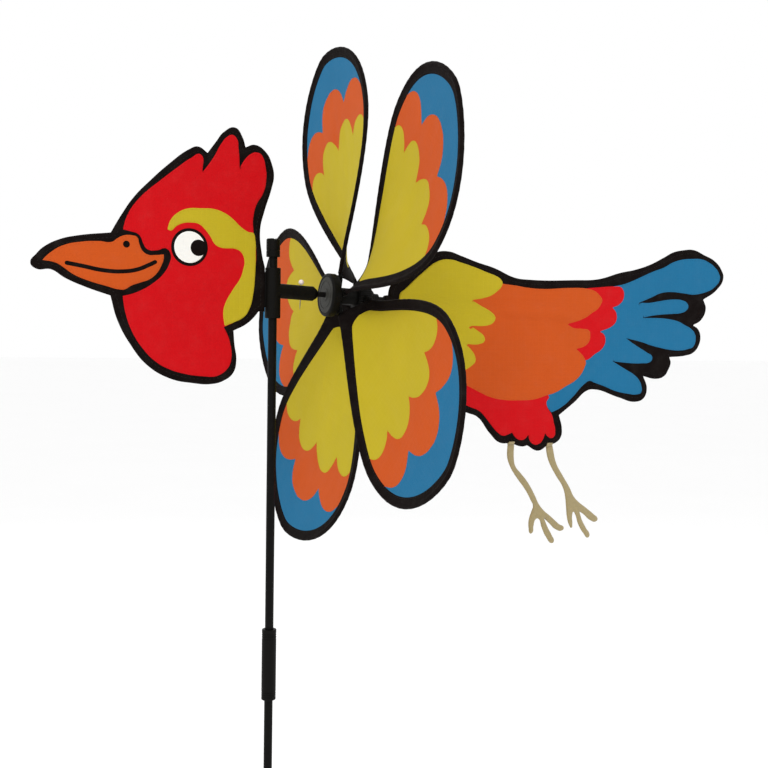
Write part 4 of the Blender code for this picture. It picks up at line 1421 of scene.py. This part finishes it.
def build_hub_disc(bore):
    """The wheel's front disc, with a plate set into its black rim; the plate's grey is painted light on
    the disc's lit front face.
    """
    start, end, radius = spar_range("hub_front_disc")
    rim = radius - HUB_RIM
    seat = start + PLATE_SEAT
    disc = ([(bore, end), (radius * 0.78, end)] + top_edge(radius, end, 0.0012)
            + bottom_edge(radius, start, 0.0020) + [(rim, start), (rim - 0.0002, seat),
                                                    (bore, seat)])
    turned("hub_disc", disc, "plastic", "wheel", SPAR_FRAME, ["hub_front_disc"], steps=128)
    back = seat + 0.0002
    edge = rim - 0.0004
    face = [(bore, back), (edge, back), (edge, start + 0.0003),
            (radius * 0.66, start + 0.0001), (radius * 0.65, start + 0.0005),
            (radius * 0.61, start + 0.0005), (radius * 0.60, start + 0.0001),
            (radius * 0.30, start), (radius * 0.28, start - 0.0006), (bore, start - 0.0006)]
    # The plate takes the hub's grey, which is painted light on the disc's lit face.
    turned("hub_painted_lit_face", face, "hub", "wheel", SPAR_FRAME, steps=128)


def build_hub_barrel(bore):
    """The hub's barrel, with a fluted collar."""
    collar = [(BARREL_RADIUS, COLLAR_END + FINE_BEVEL),
              (COLLAR_RADIUS - COLLAR_BEVEL, COLLAR_END), (COLLAR_RADIUS, COLLAR_END - COLLAR_BEVEL),
              (COLLAR_RADIUS, COLLAR_START + COLLAR_BEVEL),
              (COLLAR_RADIUS - COLLAR_BEVEL, COLLAR_START),
              (BARREL_RADIUS, COLLAR_START - FINE_BEVEL)]
    barrel = (top_mouth(bore, BARREL_END, FINE_BEVEL) + top_edge(BARREL_RADIUS, BARREL_END, 0.0008)
              + collar + bottom_edge(BARREL_RADIUS, BARREL_START, FINE_BEVEL)
              + bottom_mouth(bore, BARREL_START, FINE_BEVEL))
    turned("hub_core", barrel, "plastic", "wheel", SPAR_FRAME, ["hub_barrel"],
           flutes=(32, 0.0007, COLLAR_START + 0.001, COLLAR_END - 0.001), steps=192)


def build_socket(number, word, side, place):
    """One of the two sockets that a petal's rod is pushed into."""
    out = (Matrix.Rotation(-side * ROOT_ANGLE, 4, "Z")
           @ Matrix.Rotation(-math.pi / 2, 4, "X"))
    matrix = petal_matrix(number) @ Matrix.Translation((0, 0, place)) @ out
    bore = ROD_RADIUS + 0.0002
    floor = SOCKET_OUTER - 0.004
    profile = ([(0, floor), (bore, floor)] + top_mouth(bore, SOCKET_OUTER, FINE_BEVEL)
               + top_edge(SOCKET_RADIUS, SOCKET_OUTER, 0.0005)
               + groove(SOCKET_RADIUS, SOCKET_OUTER - 0.0022, FINE_GROOVE, FINE_GROOVE)
               + [(SOCKET_RADIUS, SOCKET_INNER), (0, SOCKET_INNER)])
    turned(f"socket_{word}_{number + 1}", profile, "plastic", "wheel", matrix, steps=40)


def build_hub():
    bore = spar_range("spar")[2] + FIT
    build_hub_disc(bore)
    build_hub_barrel(bore)
    for number in range(PETALS):
        build_socket(number, "front", -1, FRONT_ROOT)
        build_socket(number, "rear", 1, REAR_ROOT)


# ---------------------------------------------------------------- studio

def build_floor():
    mesh = bpy.data.meshes.new("floor")
    cage = bmesh.new()
    bmesh.ops.create_grid(cage, x_segments=2, y_segments=2, size=FLOOR_SIZE,
                          matrix=Matrix.Translation((0, 0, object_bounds()[0][2])))
    cage.to_mesh(mesh)
    cage.free()
    floor = bpy.data.objects.new("floor", mesh)
    bpy.context.scene.collection.objects.link(floor)
    n = Nodes("studio_floor", 0.9)
    cloudy = n.noise(n.place(), 3.0, 4.0)
    n.feed(n.shader.inputs["Base Color"],
           n.blend(cloudy, (0.96, 0.96, 0.96, 1), (0.98, 0.98, 0.98, 1)))
    mesh.materials.append(n.material)


def add_light(name, place, size, power):
    data = bpy.data.lights.new(name, "AREA")
    data.energy = power
    data.size = size
    light = bpy.data.objects.new(name, data)
    light.location = place
    towards = Vector(LIT_PLACE) - Vector(place)
    light.rotation_euler = towards.to_track_quat("-Z", "Y").to_euler()
    bpy.context.scene.collection.objects.link(light)


def build_world():
    world = bpy.data.worlds.new("studio")
    world.use_nodes = True
    background = world.node_tree.nodes["Background"]
    background.inputs["Color"].default_value = (1, 1, 1, 1)
    background.inputs["Strength"].default_value = 1.0
    bpy.context.scene.world = world
    bpy.context.scene.view_settings.view_transform = "Standard"


def build_camera():
    camera = bpy.data.objects.new("camera", bpy.data.cameras.new("camera"))
    camera.data.sensor_width = 36
    camera.data.lens = CAMERA_LENS
    camera.data.clip_start = 0.01
    place = Vector(CAMERA_PLACE)
    back = (place - Vector(CAMERA_TARGET)).normalized()
    right = Vector((0, 0, 1)).cross(back).normalized()
    up = back.cross(right)
    turn = Matrix((right, up, back)).transposed() @ Matrix.Rotation(CAMERA_ROLL, 3, "Z")
    camera.matrix_world = Matrix.Translation(place) @ turn.to_4x4()
    bpy.context.scene.collection.objects.link(camera)
    bpy.context.scene.camera = camera


def build_studio():
    build_floor()
    build_world()
    for name, place, size, power in LIGHTS:
        add_light(name, place, size, power)
    build_camera()


build_tubes()
build_tip()
build_ferrule()
build_cap()
build_stop_ring()
build_tee()
build_pin()
build_spar()
build_hub()
build_rods()
build_head()
build_body()
for leg_name in LEGS:
    build_leg(leg_name)
build_petals()
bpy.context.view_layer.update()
build_studio()
